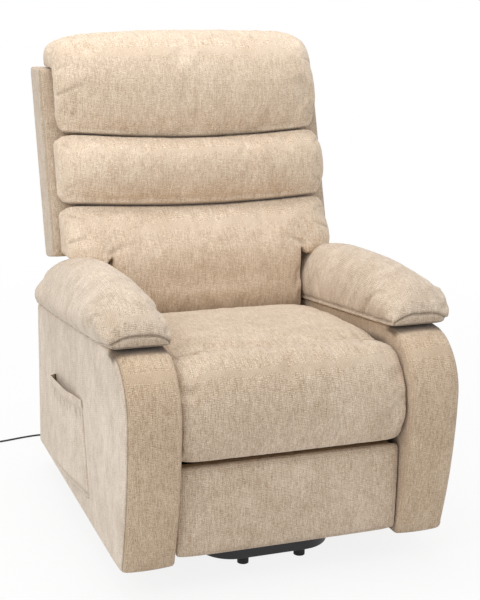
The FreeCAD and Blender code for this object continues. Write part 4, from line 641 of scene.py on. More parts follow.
def sew(piece, lines, shades):
    """Press lines into a cover: each is its points, depth, half width and how it fades.

    A line of a depth below 0 stands up. A pressed line also paints shade along itself, more the deeper it is;
    shades are more painted shade, worked out from the cover's points.
    """
    surface = surface_of(piece)
    coords = coords_of(piece)
    pressed = np.zeros(len(coords))
    shade = np.zeros(len(coords))
    for points, depth, half, fade in lines:
        samples = even_spots(points, half * 0.8)
        places = [surface.find_nearest(place)[0] for place, share in samples]
        tree = KDTree(len(places))
        for index, place in enumerate(places):
            tree.insert(place, index)
        tree.balance()
        reach = LINE_REACH * half
        low = np.array(places).min(0) - reach
        high = np.array(places).max(0) + reach
        black_depth = SEAM_BLACK if fade == "even" else CREASE_BLACK
        for index in np.nonzero(((coords > low) & (coords < high)).all(1))[0]:
            place, number, gap = tree.find(coords[index])
            if gap < reach:
                share = FADES[fade](samples[number][1])
                pressed[index] += depth * share * exp(-(gap / half) ** 2)
                # Painted shade along the pressed line, darkest in its middle
                dark = depth / black_depth * share * exp(-(gap / (0.75 * half)) ** 2)
                shade[index] = max(shade[index], dark)
    set_coords(piece, coords - normals_of(piece) * pressed[:, None])
    shade *= 0.8
    for more in shades:
        shade = np.maximum(shade, more(coords))
    shade_seams(piece, shade)


def gathers(starts, way, reach, depth, half, salt):
    """Short folds that run from points of a seam, each of its own length and lean."""
    lines = []
    for number, start in enumerate(starts):
        long = reach * (0.55 + 0.9 * uneven(number, salt))
        lean = Vector([uneven(number, salt + way_salt) - 0.5 for way_salt in (1, 2, 3)])
        end = Vector(start) + (Vector(way) + lean * 0.7).normalized() * long
        lines.append(((start, end), depth * (0.5 + 0.8 * uneven(number, salt + 4)), half, "out"))
    return lines


STITCH_FORM = ((-0.5, 0.35), (-0.3, 0.9), (0.0, 1.0), (0.3, 0.9), (0.5, 0.35))
STITCH_SIDES = 6


def stitches(name, piece, points, body, pitch=0.0075, long=0.0052, thick=0.00055):
    """A row of single stitches that lie in a cover along a line."""
    surface = surface_of(piece)
    samples = [surface.find_nearest(place)[:2] for place, share in even_spots(points, pitch)]
    spots = []
    faces = []
    for (place, normal), (following, other) in zip(samples, samples[1:]):
        way = (following - place).normalized()
        side = way.cross(normal).normalized()
        first = len(spots)
        for share, width in STITCH_FORM:
            middle = place + way * (share * long) + normal * thick * (0.45 - 1.6 * share ** 2)
            for corner in range(STITCH_SIDES):
                angle = corner * 2 * pi / STITCH_SIDES
                spots.append(middle + (side * cos(angle) + normal * sin(angle)) * thick * width)
        faces += grid_faces(len(STITCH_FORM), STITCH_SIDES, first, closed=True)
        faces.append(tuple(range(first + STITCH_SIDES - 1, first - 1, -1)))
        faces.append(tuple(range(len(spots) - STITCH_SIDES, len(spots))))
    row = new_piece(name, spots, faces, body)
    row.data.materials.append(materials["thread"])


def finish_cover(piece, node, body, material):
    if not piece.data.materials:
        piece.data.materials.append(materials[material])
    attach(piece, body)
    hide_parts(node)


def cushion(node, body, material, held=None, voxel=0.006, inward=0.008, cap=0.022, shape=None, ease=0, lines=(),
            shades=(), fill=0.7):
    """A stuffed cover over one CAD solid: made even, swollen, divided once more, shaped and sewn.

    Held gives the grip of each point while the cover swells; without it nothing swells. Ease evens out the
    shape's moves, so that they leave no step in the cloth.
    """
    piece = whole_copy(node)
    remesh(piece, voxel)
    smooth(piece, 2)
    if held:
        grips = np.array([held(place) for place in coords_of(piece)])
        inflate(piece, grips, inward, cap)
        smooth(piece, 1)
    subdivide(piece)
    if shape:
        coords = coords_of(piece)
        set_coords(piece, coords + averaged(piece, shape(coords) - coords, ease))
    sew(piece, lines, shades)
    finish_cover(piece, node, body, material)
    return piece


# Back cushions

UP_SLOPE = np.array((0, sin(BACK_LEAN), cos(BACK_LEAN)))
OFF_SLOPE = np.array((0, -cos(BACK_LEAN), sin(BACK_LEAN)))


def all_in_slope(coords):
    """X, distance behind the back's front plane and height along it of many points."""
    away = coords - np.array(BACK_FOOT)
    return (away[:, 0], away[:, 1] * cos(BACK_LEAN) - away[:, 2] * sin(BACK_LEAN),
            away[:, 1] * sin(BACK_LEAN) + away[:, 2] * cos(BACK_LEAN))


def droop(coords, seam, amount, reach=0.05):
    """Let a cushion sag along a seam, most in the middle of the back."""
    x, behind, along = all_in_slope(coords)
    near = np.exp(-((along - seam) / reach) ** 2) * np.clip((-0.012 - behind) / 0.03, 0, 1)
    low = amount * (1 - np.clip(x / CUSHION_HALF, -1, 1) ** 2) * near
    return coords - UP_SLOPE * low[:, None]


def plump(coords, low, high, amount):
    """Swell a cushion's front between two heights."""
    x, behind, along = all_in_slope(coords)
    share = np.clip((along - low) / (high - low), 0, 1)
    round_up = np.sqrt(np.clip(np.sin(share * pi), 0, 1)) * (1 - np.clip(np.abs(x) / CUSHION_HALF, 0, 1) ** 6)
    out = amount * round_up * np.clip((-0.03 - behind) / 0.04, 0, 1)
    return coords + OFF_SLOPE * out[:, None]


def head_shape(coords):
    """The head cushion sags along its seam and stands a little higher at its left end."""
    coords = droop(coords, SEAM_HIGH, DROOP_HIGH)
    x, _, along = all_in_slope(coords)
    lift = 0.012 * np.clip(x / 0.29, 0, 1) ** 1.5 * np.clip((along - 0.58) / 0.08, 0, 1)
    return plump(coords + UP_SLOPE * lift[:, None], SEAM_HIGH, 0.66, 0.006)


def middle_shape(coords):
    """The middle cushion sags along both seams."""
    coords = droop(droop(coords, SEAM_HIGH, DROOP_HIGH), SEAM_LOW, DROOP_LOW)
    return plump(coords, SEAM_LOW, SEAM_HIGH, 0.006)


def lower_shape(coords):
    """The lower cushion's ends hang down in front, close to the arm pads."""
    coords = plump(droop(coords, SEAM_LOW, DROOP_LOW), 0.06, SEAM_LOW, 0.004)
    x, behind, along = all_in_slope(coords)
    end = np.clip((np.abs(x) - 0.236) / 0.016, 0, 1) * np.clip((0.235 - along) / 0.07, 0, 1)
    end *= np.clip((along - 0.07) / 0.05, 0, 1)
    return coords - UP_SLOPE * (0.026 * end * np.clip((-0.01 - behind) / 0.07, 0, 1))[:, None]


def lower_shade(coords):
    """Painted shade: the lower cushion is drawn a little darker down towards the seat, where the seat and pads
    shade it.
    """
    along = all_in_slope(coords)[2]
    return 0.10 * np.exp(-(np.maximum(along, 0) / 0.08) ** 2)


def seam_shade(seam, drooped):
    """Shade of the crease between two back cushions."""
    half = 0.0036

    def shade(coords):
        x, behind, along = all_in_slope(coords)
        sag = 1 - np.clip(x / CUSHION_HALF, -1, 1) ** 2
        gap = along - (seam - (SEAM_DIP + drooped) * sag)
        return 0.9 * np.exp(-(gap / half) ** 2) * (behind < -0.02)
    return shade


def held_between(low, high):
    """Grip of a back cushion: firm on the back and in its seams."""
    def held(place):
        x, behind, along = in_slope(place)
        if behind > -0.012:
            return 1.0
        for seam, side in ((low, 1), (high, -1)):
            if seam is not None and side * (along - seam_along(seam, x)) < 0.009 and abs(x) < 0.325:
                return 1.0
        return 0.0
    return held


def end_creases(creases):
    """Creases near a back cushion's ends: X and height of both ends of each, and its depth."""
    lines = []
    for x_start, start, x_end, end, depth in creases:
        behind = -0.060 if abs(x_start) > 0.325 else -0.090
        lines.append(((on_slope(x_start, behind, start), on_slope((x_start + x_end) / 2, -0.092, (start + end) / 2),
                       on_slope(x_end, -0.098, end)), depth, 0.0050, "out"))
    return lines


def seam_folds(seam, side, salt):
    """Small folds of a back cushion along one of its seams, denser at the ends."""
    starts = []
    for number in range(26):
        x = 0.325 * sin((number / 25 - 0.5) * pi)
        starts.append(on_slope(x, -0.066, seam_along(seam, x) + side * 0.006))
    way = on_slope(0, -0.6, side * 1.0) - BACK_FOOT
    return gathers(starts, way, 0.018, 0.0010, 0.0045, salt)


# Creases of the lower cushion where it narrows between the arm pads: points, depth, half width and fade
PAD_CREASES = (
    (((0.242, -0.10, 0.146), (0.215, -0.108, 0.160), (0.180, -0.110, 0.166)), 0.0028, 0.007, "out"),
    (((0.262, -0.10, 0.148), (0.245, -0.104, 0.178), (0.222, -0.106, 0.200)), 0.0016, 0.006, "out"),
    (((0.236, -0.08, 0.105), (0.222, -0.095, 0.075), (0.214, -0.085, 0.03)), 0.0034, 0.006, "both"),
    (((0.236, -0.06, 0.06), (0.226, -0.075, 0.03), (0.222, -0.06, 0.0)), 0.0026, 0.005, "both"),
)


def make_back_cushions():
    back = {"body": "back", "material": "back_upholstery"}
    high_seam = seam_shade(SEAM_HIGH, DROOP_HIGH)
    low_seam = seam_shade(SEAM_LOW, DROOP_LOW)
    lines = end_creases(((-0.328, 0.528, -0.258, 0.546, 0.0036), (-0.330, 0.590, -0.292, 0.604, 0.0022),
                         (-0.322, 0.466, -0.298, 0.463, 0.0050), (0.332, 0.470, 0.288, 0.478, 0.0034),
                         (0.328, 0.606, 0.290, 0.614, 0.0022))) + seam_folds(SEAM_HIGH, 1, 4)
    cushion("head_cushion", held=held_between(SEAM_HIGH, None), shape=head_shape, lines=lines, shades=(high_seam,),
            **back)
    lines = end_creases(((-0.330, 0.418, -0.302, 0.402, 0.0034), (-0.330, 0.300, -0.296, 0.312, 0.0034),
                         (0.330, 0.414, 0.300, 0.396, 0.0034), (0.330, 0.300, 0.292, 0.308, 0.0030)))
    lines += seam_folds(SEAM_HIGH, -1, 14)
    cushion("middle_cushion", held=held_between(SEAM_LOW, SEAM_HIGH), shape=middle_shape,
            lines=lines + seam_folds(SEAM_LOW, 1, 15), shades=(high_seam, low_seam), **back)
    lines = end_creases(((-0.330, 0.250, -0.300, 0.238, 0.0034), (-0.328, 0.180, -0.290, 0.196, 0.0036),
                         (0.330, 0.246, 0.296, 0.232, 0.0034), (0.328, 0.186, 0.280, 0.206, 0.0040)))
    lines += seam_folds(SEAM_LOW, -1, 24)
    for sign in (-1, 1):
        for places, depth, half, fade in PAD_CREASES:
            points = [on_slope(sign * x, behind, along) for x, behind, along in places]
            lines.append((points, depth, half, fade))
    cushion("lower_cushion", held=held_between(None, SEAM_LOW), shape=lower_shape, lines=lines,
            shades=(low_seam, lower_shade), **back)


def make_back_shell():
    """The back's flat upholstered slab, with a seam round its rear face and one down each side."""
    lines = []
    edge = 0.352
    half = 0.003
    for x in (-edge, edge):
        lines.append(((on_slope(x, 0.004, 0.17), on_slope(x, 0.004, 0.62)), 0.0012, half, "even"))
        lines.append(((on_slope(x, 0.093, 0.18), on_slope(x, 0.093, 0.63)), 0.0016, half, "even"))
    lines.append(((on_slope(-edge, 0.094, 0.632), on_slope(edge, 0.094, 0.632)), 0.0016, half, "even"))
    cushion("back_shell", body="back", material="slab_upholstery", lines=lines, fill=0.3)


# Seat


def make_seat():
    front_seam = [spot(x / 1000, 0.090, 0.486) for x in range(-240, 241, 40)]

    def seat_held(place):
        low = place[2] < 0.36
        seam = place[1] < 0.098 - FRONT_LINE
        return 1.0 if low or seam else 0.0

    lines = []
    for sign in (-1, 1):
        starts = [spot(sign * x, 0.094, 0.484) for x in (0.244, 0.232, 0.214, 0.190, 0.160)]
        lines += gathers(starts, (-sign * 0.35, 1.0, 0), 0.050, 0.0030, 0.006, 30 + sign)
        lines.append(((spot(sign * 0.246, 0.12, 0.470), spot(sign * 0.236, 0.25, 0.484),
                       spot(sign * 0.238, 0.42, 0.474)), 0.0022, 0.010, "both"))
    lines += gathers(front_seam, (0, 1.0, 0), 0.028, 0.0014, 0.006, 35)
    cushion("seat_cushion", body="lift_frame", material="upholstery", held=seat_held, lines=lines)

    def bolster_held(place):
        rear = place[1] > 0.076 - FRONT_LINE
        under = place[2] < 0.292
        return 1.0 if rear or under else 0.0

    lines = []
    for sign in (-1, 1):
        starts = [spot(sign * x, 0.080, 0.487) for x in (0.243, 0.230, 0.212, 0.188)]
        lines += gathers(starts, (-sign * 0.3, -1.0, -0.1), 0.045, 0.0030, 0.006, 40 + sign)
        starts = [spot(sign * 0.246, depth / 1000, height / 1000)
                  for depth, height in ((40, 470), (5, 445), (-12, 410), (-20, 370), (-12, 330), (-4, 306))]
        lines += gathers(starts, (-sign * 1.0, -0.5, 0.15), 0.030, 0.0010, 0.006, 45 + sign)
    lines += gathers(front_seam, (0, -1.0, -0.2), 0.030, 0.0014, 0.006, 48)
    lower = [spot(x / 1000, -0.012, 0.296) for x in range(-235, 236, 47)]
    lines += gathers(lower, (0, -0.3, 1.0), 0.020, 0.0012, 0.005, 49)
    cushion("seat_bolster", body="lift_frame", material="upholstery", held=bolster_held, lines=lines)
    make_shadow_lining()


def make_shadow_lining():
    """Black lining that hangs from the seat frame's front, behind the footrest's top edge; its near-black cloth
    fills the gap under the bolster as painted shadow.
    """
    spots = []
    across = 24
    rows = ((0.0616, 0.2895), (0.0612, 0.281), (0.0618, 0.272), (0.0626, 0.264), (0.0634, 0.258))
    for number, (depth, height) in enumerate(rows):
        for step in range(across + 1):
            x = 0.247 * (2 * step / across - 1)
            ripple = 0.0006 * number * sin(step * 1.9)
            spots.append(spot(x, depth + ripple, height - 0.0008 * number * sin(step * 0.8)))
    lining = new_piece("deck_lining", spots, grid_faces(len(rows), across + 1), "lift_frame")
    lining.data.materials.append(materials["lining"])


# Arms: side panels, a front strip that runs over the shoulder, and the pads

ARM_FOOT = (0.0, 0.060)
ARM_BELLY = (-0.0324, 0.210)
ARM_NOSE = (-0.045, 0.380)
ARM_BEND = (-0.014655, 0.46477)
ARM_SHOULDER = (0.062, 0.512)
ARM_REAR_TOP = (0.788, 0.428)
ARM_REAR_LOW = (0.788, 0.060)
ARM_CENTRE = (0.40, 0.26)
ARM_INNER = 0.2503
ARM_OUTER = 0.365
ARM_MIDDLE = (ARM_OUTER + ARM_INNER) / 2
ARM_HALF = (ARM_OUTER - ARM_INNER) / 2
ARM_SEAM_PRESS = 0.0022


def arc_spots(start, middle, end, count):
    """Points on the circle through three points of the side view."""
    ax, ay = start
    bx, by = middle
    cx, cy = end
    twice = 2 * (ax * (by - cy) + bx * (cy - ay) + cx * (ay - by))
    squares = [x * x + y * y for x, y in (start, middle, end)]
    centre_x = (squares[0] * (by - cy) + squares[1] * (cy - ay) + squares[2] * (ay - by)) / twice
    centre_y = (squares[0] * (cx - bx) + squares[1] * (ax - cx) + squares[2] * (bx - ax)) / twice
    radius = hypot(ax - centre_x, ay - centre_y)
    first = atan2(ay - centre_y, ax - centre_x)
    sweep = atan2(cy - centre_y, cx - centre_x) - first
    sweep = (sweep + pi) % (2 * pi) - pi
    angles = [first + sweep * step / count for step in range(count)]
    return [(centre_x + radius * cos(angle), centre_y + radius * sin(angle)) for angle in angles]


def run_spots(start, end, count):
    return [(start[0] + (end[0] - start[0]) * step / count, start[1] + (end[1] - start[1]) * step / count)
            for step in range(count)]


def arm_outline():
    """Side view of the arm, and for each point how much it belongs to the soft front."""
    curve = arc_spots(ARM_FOOT, ARM_BELLY, ARM_NOSE, 30) + arc_spots(ARM_NOSE, ARM_BEND, ARM_SHOULDER, 20)
    rest = (run_spots(ARM_SHOULDER, ARM_REAR_TOP, 40) + run_spots(ARM_REAR_TOP, ARM_REAR_LOW, 20)
            + run_spots(ARM_REAR_LOW, ARM_FOOT, 40))
    outline = curve + rest
    softness = [1.0 if index < len(curve) else 0.3 for index in range(len(outline))]
    count = len(outline)
    for _ in range(3):
        softness = [(softness[index - 1] + softness[index] + softness[(index + 1) % count]) / 3
                    for index in range(count)]
    return outline, softness


def arm_rings():
    """From one side of an arm to its strip: kind, place and press of each ring of points."""
    rings = [("face", share, 0.0) for share in (0.98, 0.85, 0.7, 0.55, 0.4, 0.27, 0.16, 0.08, 0.03)]
    for turn, press in ((0, 0), (16, 0), (28, 0.0001), (35, 0.0010), (40, ARM_SEAM_PRESS), (45, 0.0010),
                        (52, 0.0001), (66, 0), (84, 0)):
        rings.append(("corner", turn, press))
    return rings


def under_pad(depth, height):
    """How much a point of an arm's outline lies in the shade of the pad's front edge."""
    if height < 0.40:
        return 0.0
    return max(0.0, 1 - abs(depth - 0.066) / 0.036)


def arm_inwards(outline):
    """For each point of the arm's outline, the way into the arm in side view."""
    inwards = []
    for before, after in zip(outline[-1:] + outline[:-1], outline[1:] + outline[:1]):
        length = hypot(after[0] - before[0], after[1] - before[1])
        inwards.append(((after[1] - before[1]) / length, (before[0] - after[0]) / length))
    return inwards


def arm_point(ring, half_side, place, way, soft):
    """X, depth and height of one point of an arm's cover, and how much painted shade its cloth takes there."""
    kind, value, press = ring
    depth, height = place
    radius = 0.005 + (0.0115 if half_side > 0 else 0.0030) * soft
    hidden = under_pad(depth, height) * (max(0.0, 1 - value / 0.05) if kind == "face" else 1.0)
    height -= 0.007 * hidden
    # Painted shadow under the pad's front edge, on the strip's top
    dark = 0.85 * min(1.0, hidden * 1.6) if hidden > 0.25 and kind != "face" else 0.0
    if kind == "face":
        edge = (depth + way[0] * radius, height + way[1] * radius)
        puff = 0.0012 * min(1.0, value * 6) if half_side > 0 else 0.0
        point = [start + (end - start) * value for start, end in zip(edge, ARM_CENTRE)]
        # Painted shade on the arm's inner face, which lies deep in the gap beside the seat and footrest
        if half_side < 0 and value > 0.1:
            dark = 0.9
        return (ARM_MIDDLE + half_side * (ARM_HALF + puff), *point), dark
    if kind == "corner":
        turn = radians(value)
        inset = radius * (1 - sin(turn)) + press * soft * sin(turn)
        x = ARM_MIDDLE + half_side * (ARM_HALF - radius * (1 - cos(turn)) - press * soft * cos(turn))
        # Painted shade along the seam at the front strip's outer edge
        if half_side > 0:
            dark = max(dark, press / ARM_SEAM_PRESS * 0.6 * soft)
        return (x, depth + way[0] * inset, height + way[1] * inset), dark
    crown = 0.0032 * soft * (1 - value ** 2)
    x = ARM_MIDDLE - (ARM_HALF - radius) * value
    return (x, depth - way[0] * crown, height - way[1] * crown), dark


def make_arm(side, sign):
    outline, softness = arm_outline()
    inwards = arm_inwards(outline)
    count = len(outline)
    half_rings = arm_rings()
    strip = [("strip", share, 0.0) for share in (-0.85, -0.6, -0.3, 0.0, 0.3, 0.6, 0.85)]
    rows = [(ring, 1) for ring in half_rings] + [(ring, 0) for ring in strip]
    rows += [(ring, -1) for ring in half_rings[::-1]]
    spots = []
    shade = []
    for ring, half_side in rows:
        for place, way, soft in zip(outline, inwards, softness):
            (x, depth, height), dark = arm_point(ring, half_side, place, way, soft)
            spots.append(spot(sign * x, depth, height))
            shade.append(dark)
    faces = grid_faces(len(rows), count, closed=True)
    faces.append(tuple(range(count - 1, -1, -1)))
    faces.append(tuple(range(len(spots) - count, len(spots))))
    piece = new_piece("arm_%s_cover" % side, spots, faces, "lift_frame")
    mesh = bmesh.new()
    mesh.from_mesh(piece.data)
    bmesh.ops.recalc_face_normals(mesh, faces=mesh.faces)
    mesh.to_mesh(piece.data)
    mesh.free()
    for name in ("side_upholstery", "strip_upholstery"):
        piece.data.materials.append(materials[name])
    side_faces = (len(half_rings) - 5) * count
    for number, face in enumerate(piece.data.polygons):
        face.material_index = 0 if number < side_faces or number == len(faces) - 2 else 1
    shade_seams(piece, shade)
    subdivide(piece)
    finish_cover(piece, "arm_" + side, "lift_frame", "side_upholstery")
    front = [spot(sign * (ARM_OUTER - 0.0095), depth - 0.004, height) for depth, height in outline[1:46]]
    stitches("arm_%s_front_stitches" % side, piece, front, "lift_frame", pitch=0.008, long=0.0055, thick=0.0007)


def arm_top(depth):
    """Height of the arm's top at a depth."""
    share = (depth - ARM_SHOULDER[0]) / (ARM_REAR_TOP[0] - ARM_SHOULDER[0])
    return ARM_SHOULDER[1] + share * (ARM_REAR_TOP[1] - ARM_SHOULDER[1])


def corner_pull(across, ahead, radius):
    """Which points lie beyond a rounded corner, and the share that draws them in to its circle."""
    reach = np.hypot(across, ahead)
    corner = (across > 0) & (ahead > 0) & (reach > radius)
    return corner, np.where(corner, radius / np.maximum(reach, 1e-9), 1.0)


def pad_seam(sign, lift):
    """The pad's arched front seam, from its inner to its outer lower corner."""
    points = []
    for step in range(29):
        share = step / 28
        x = 0.246 + share * 0.130
        rise = 0.006 + 0.021 * (1 - abs(2 * share - 1) ** 3.2)
        bow = 0.010 * (1 - (2 * share - 1) ** 2)
        points.append(spot(sign * x, 0.050 - bow, 0.515 + rise + lift))
    return points


def make_arm_pad(side, sign):
    def held(place):
        return 1.0 if place[2] < arm_top(place[1] + FRONT_LINE) + 0.006 else 0.0

    lines = [(pad_seam(sign, 0), 0.0028, 0.0034, "even"), (pad_seam(sign, -0.0065), -0.0012, 0.0035, "even"),
             (pad_seam(sign, 0.0070), -0.0012, 0.0040, "even")]
    depths = (0.06, 0.16, 0.26, 0.36, 0.46, 0.56, 0.66, 0.72)
    lines.append(([spot(sign * 0.380, depth, arm_top(depth) + 0.003) for depth in depths], 0.0020, 0.0034, "even"))
    lines.append(([spot(sign * 0.243, depth, arm_top(depth) + 0.012) for depth in depths], 0.0020, 0.0034, "even"))
    # The lip line tucks the pad's lower front edge in, and its pressed line paints the shadow where the pad
    # overhangs the arm
    lip = [spot(sign * (0.246 + 0.138 * step / 28), 0.046, 0.508) for step in range(29)]
    lines.append((lip, 0.0026, 0.0040, "even"))
    starts = [spot(sign * x, 0.046, 0.545) for x in (0.256, 0.268, 0.290, 0.335, 0.358)]
    lines += gathers(starts, (0, 0.5, 1.0), 0.024, 0.0016, 0.0045, 60 + sign)
    for x, salt in ((0.243, 3), (0.386, 5)):
        starts = [spot(sign * x, depth, arm_top(depth) + 0.014)
                  for depth in (0.10, 0.19, 0.27, 0.36, 0.47, 0.58, 0.68)]
        lines += gathers(starts, (0, -0.4, 1.0), 0.030, 0.0012, 0.006, 70 + salt + sign)

    def pad_shape(coords):
        """Round the pad's front corners, swell its outer side and shoulder, and tuck its edge under."""
        x = coords[:, 0] * sign
        depth = coords[:, 1] + FRONT_LINE
        shaped = coords.copy()
        radius = 0.026
        front = 0.043
        for edge, way in ((0.3885, 1), (0.2415, -1)):
            across = (x - edge) * way + radius
            ahead = front + radius - depth
            corner, pull = corner_pull(across, ahead, radius)
            shaped[:, 0] = np.where(corner, sign * (edge + way * (across * pull - radius)), shaped[:, 0])
            shaped[:, 1] = np.where(corner, front + radius - ahead * pull - FRONT_LINE, shaped[:, 1])
        above = coords[:, 2] - arm_top(np.maximum(depth, ARM_SHOULDER[0]))
        outer = np.clip((x - 0.34) / 0.04, 0, 1)
        low = np.clip((0.030 - above) / 0.030, 0, 1) ** 1.2
        tuck = (0.011 + 0.010 * np.clip((0.16 - depth) / 0.08, 0, 1)) * low
        belly = 0.0075 * np.exp(-((above - 0.036) / 0.022) ** 2) * np.clip((depth - 0.05) / 0.12, 0, 1)
        shoulder = 0.011 * outer * np.exp(-((above - 0.060) / 0.024) ** 2)
        shoulder *= np.clip((depth - 0.045) / 0.03, 0, 1) * np.clip((0.34 - depth) / 0.16, 0, 1)
        shaped[:, 0] += sign * (outer * (belly - tuck) + 0.6 * shoulder)
        crown = np.clip((above - 0.045) / 0.03, 0, 1) * np.clip((depth - 0.32) / 0.12, 0, 1)
        shaped[:, 2] += shoulder + 0.004 * crown * np.clip((0.59 - depth) / 0.08, 0, 1)
        return shaped

    piece = cushion("arm_pad_" + side, body="lift_frame", material="pad_upholstery", held=held, voxel=0.0055,
                    inward=0.006, cap=0.016, shape=pad_shape, ease=18, lines=lines)
    for name, lift in (("upper", 0.0045), ("lower", -0.0045)):
        stitches("arm_pad_%s_%s_stitches" % (side, name), piece, pad_seam(sign, lift)[1:-1], "lift_frame")


# Footrest and pocket


def make_footrest():
    front = -0.006
    low, high, half = 0.084, 0.264, 0.240
    border = [spot(-half, front, low), spot(half, front, low), spot(half, front, high), spot(-half, front, high),
              spot(-half, front, low)]
    lines = [(border, 0.0006, 0.005, "even")]

    def footrest_shape(coords):
        """Round the panel's corners and crown its front."""
        x = coords[:, 0]
        z = coords[:, 2]
        radius = 0.020
        edge = 0.2495
        foot = 0.074
        across = np.abs(x) - (edge - radius)
        down = (foot + radius) - z
        corner, pull = corner_pull(across, down, radius)
        shaped = coords.copy()
        shaped[:, 0] = np.where(corner, np.sign(x) * (edge - radius + across * pull), x)
        shaped[:, 2] = np.where(corner, foot + radius - down * pull, z)
        crown = (1 - np.clip(np.abs(x) / 0.25, 0, 1) ** 4) * (1 - np.clip(np.abs(z - 0.174) / 0.105, 0, 1) ** 3)
        shaped[:, 1] -= 0.005 * crown * np.clip((0.010 - FRONT_LINE - coords[:, 1]) / 0.01, 0, 1)
        return shaped

    for sign in (-1, 1):
        starts = [spot(sign * 0.244, front, height) for height in (0.10, 0.135, 0.175, 0.215, 0.25)]
        lines += gathers(starts, (-sign * 1.0, 0, 0.1), 0.022, 0.0010, 0.005, 80 + sign)
    cushion("footrest_pad", body="footrest_panel", material="upholstery", voxel=0.005, shape=footrest_shape,
            lines=lines, fill=0.4)


POCKET_FRONT = 0.249
POCKET_REAR = 0.514
POCKET_LOW = 0.110
POCKET_HIGH = 0.318
POCKET_LEAN = 0.060
POCKET_FALL = 0.021
POCKET_OFF = 0.0050
HANDSET_FRONT = 0.434
HANDSET_OUT = 0.0165


def pocket_spot(along, up, out):
    """A point of the pocket: share from front to rear, share from bottom to hem, and distance off the arm."""
    front = POCKET_FRONT + POCKET_LEAN * up
    width = POCKET_REAR - POCKET_FRONT
    height = POCKET_LOW + (POCKET_HIGH - POCKET_LOW) * up - POCKET_FALL * (along - 0.5)
    return spot(-ARM_OUTER - out, front + width * along, height)


def pocket_gather(along):
    """Uneven waves of the cloth below the pocket's hem."""
    return sin(along * 62 + 2 * sin(along * 17))


def pocket_out(along, up):
    """How far the pocket's cloth stands off the arm."""
    depth = POCKET_FRONT + POCKET_LEAN * up + (POCKET_REAR - POCKET_FRONT) * along
    front = POCKET_FRONT + POCKET_LEAN * up
    rear = front + POCKET_REAR - POCKET_FRONT
    if depth < HANDSET_FRONT:
        share = (depth - front) / (HANDSET_FRONT - front)
    elif depth > rear - 0.010:
        share = (rear - depth) / 0.010
    else:
        share = 1.0
    share = max(0.0, min(1.0, share))
    tent = POCKET_OFF * min(1.0, share * 12) + (HANDSET_OUT - POCKET_OFF) * (share * share * (3 - 2 * share))
    edge = min(1.0, 14 * min(along, 1 - along))
    gather = 0.0012 * exp(-((up - 0.84) / 0.07) ** 2) * pocket_gather(along) * edge
    slack = 0.0008 * sin(along * 9 + up * 4) * sin(pi * up) * edge
    return tent + gather + slack


def make_pocket():
    """Patch pocket: one sheet with turned-in sides and bottom, a rolled hem and two rows of stitches."""
    shares = [0, 0.006, 0.014, 0.024, 0.036, 0.05] + [0.05 + 0.9 * step / 54 for step in range(1, 54)]
    shares += [1 - share for share in (0.05, 0.036, 0.024, 0.014, 0.006, 0)]
    rows = [(0.0, 0.0), (0.0, 0.45), (0.002, 0.8), (0.012, 0.96)]
    rows += [(0.03 + 0.93 * step / 36, 1.0) for step in range(37)]
    rows += [(0.975, 1.03), (0.99, 1.05), (1.0, 1.03)]
    spots = []
    shade = []
    for up, fill in rows:
        for along in shares:
            hem = 0.0010 if 0.90 < up < 0.999 else 0.0
            sew_line = -0.0010 if abs(up - 0.895) < 0.014 or abs(up - 0.05) < 0.012 else 0.0
            spots.append(pocket_spot(along, up, max(0.0002, pocket_out(along, up) * fill + hem + sew_line)))
            # Painted shade on the pocket: in the folds under the hem, along the stitched grooves, at its edges and
            # along its bottom
            edge = min(along, 1 - along)
            fold_shade = 0.45 * max(0.0, -pocket_gather(along)) * exp(-((up - 0.84) / 0.05) ** 2)
            stitch_groove_shade = 0.35 * exp(-((up - 0.895) / 0.012) ** 2) + 0.45 * exp(-((up - 0.05) / 0.010) ** 2)
            sides = 0.95 * exp(-(edge / 0.016) ** 2)
            shade.append(max(fold_shade, stitch_groove_shade, sides, 0.9 * exp(-(up / 0.008) ** 2)))
    piece = new_piece("side_pocket_cover", spots, grid_faces(len(rows), len(shares)), "lift_frame")
    shade_seams(piece, shade)
    modifier = piece.modifiers.new("cloth thickness", "SOLIDIFY")
    modifier.thickness = 0.0015
    modifier.offset = 1.0 if spots_face_arm(piece) else -1.0
    apply_modifiers(piece)
    subdivide(piece)
    finish_cover(piece, "side_pocket", "lift_frame", "side_upholstery")
    for name, up in (("hem", 0.885), ("bottom_upper", 0.075), ("bottom_lower", 0.045)):
        points = [pocket_spot(share / 40, up, 0.024) for share in range(3, 38)]
        stitches("pocket_%s_stitches" % name, piece, points, "lift_frame", pitch=0.0065, long=0.0045)


def spots_face_arm(piece):
    """Whether the sheet's faces look towards the arm."""
    return sum(face.normal.x * face.area for face in piece.data.polygons) > 0


def make_soft_goods():
    make_back_cushions()
    make_back_shell()
    make_seat()
    for side, sign in (("left", 1), ("right", -1)):
        make_arm(side, sign)
        make_arm_pad(side, sign)
    make_footrest()
    make_pocket()


# Floor and light

LIGHT_AIM = Vector((0, 0, 0.55))


def seen_rays(graph):
    """1 for the rays that show the stage itself, straight, in a reflection or through glass."""
    path = graph.add("ShaderNodeLightPath")
    seen = graph.math("MAXIMUM", path.outputs["Is Camera Ray"], path.outputs["Is Glossy Ray"])
    return graph.math("MAXIMUM", seen, path.outputs["Is Transmission Ray"])


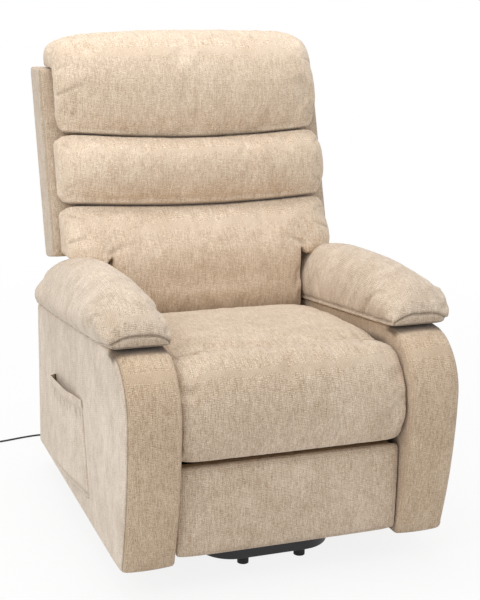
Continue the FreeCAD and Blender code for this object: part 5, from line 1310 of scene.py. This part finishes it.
def make_floor():
    """Pale floor that keeps the chair's shadow and fades into the white background."""
    data = bpy.data.meshes.new("floor")
    half = 14.0
    data.from_pydata([(-half, -half, 0), (half, -half, 0), (half, half, 0), (-half, half, 0)], [], [(0, 1, 2, 3)])
    floor = bpy.data.objects.new("floor", data)
    bpy.context.scene.collection.objects.link(floor)
    material = bpy.data.materials.new("floor")
    material.use_nodes = True
    graph = Graph(material.node_tree)
    material.node_tree.nodes.clear()
    output = graph.add("ShaderNodeOutputMaterial")
    pale = graph.add("ShaderNodeBsdfDiffuse")
    pale.inputs["Color"].default_value = (0.8, 0.8, 0.8, 1)
    glow = graph.add("ShaderNodeEmission")
    glow.inputs["Strength"].default_value = 1.0
    mix = graph.add("ShaderNodeMixShader")
    place = graph.add("ShaderNodeTexCoord").outputs["Object"]
    share = graph.spread(graph.vector_length(place), 0.9, 2.6, 0.86, 1.0)
    graph.feed(mix.inputs[0], graph.math("MULTIPLY", seen_rays(graph), share))
    graph.feed(mix.inputs[1], pale.outputs[0])
    graph.feed(mix.inputs[2], glow.outputs[0])
    graph.feed(output.inputs[0], mix.outputs[0])
    data.materials.append(material)


def make_world():
    world = bpy.data.worlds.new("studio")
    bpy.context.scene.world = world
    world.use_nodes = True
    graph = Graph(world.node_tree)
    world.node_tree.nodes.clear()
    output = graph.add("ShaderNodeOutputWorld")
    background = graph.add("ShaderNodeBackground")
    background.inputs["Color"].default_value = (1, 1, 1, 1)
    graph.feed(background.inputs["Strength"], graph.mix(seen_rays(graph), 0.72, 1.0))
    graph.feed(output.inputs[0], background.outputs[0])


def lamp(name, place, size, power):
    data = bpy.data.lights.new(name, "AREA")
    data.shape = "DISK"
    data.size = size
    data.energy = power
    light = bpy.data.objects.new(name, data)
    light.location = place
    light.rotation_euler = (LIGHT_AIM - Vector(place)).to_track_quat("-Z", "Y").to_euler()
    bpy.context.scene.collection.objects.link(light)


def make_light():
    make_world()
    lamp("key", (-3.0, -1.6, 3.2), 2.4, 46)
    lamp("top", (-0.2, 0.4, 3.8), 2.6, 58)
    bpy.context.scene.view_settings.view_transform = "Standard"


make_camera()
make_materials()
make_cord()
dress_nodes()
make_soft_goods()
make_floor()
make_light()
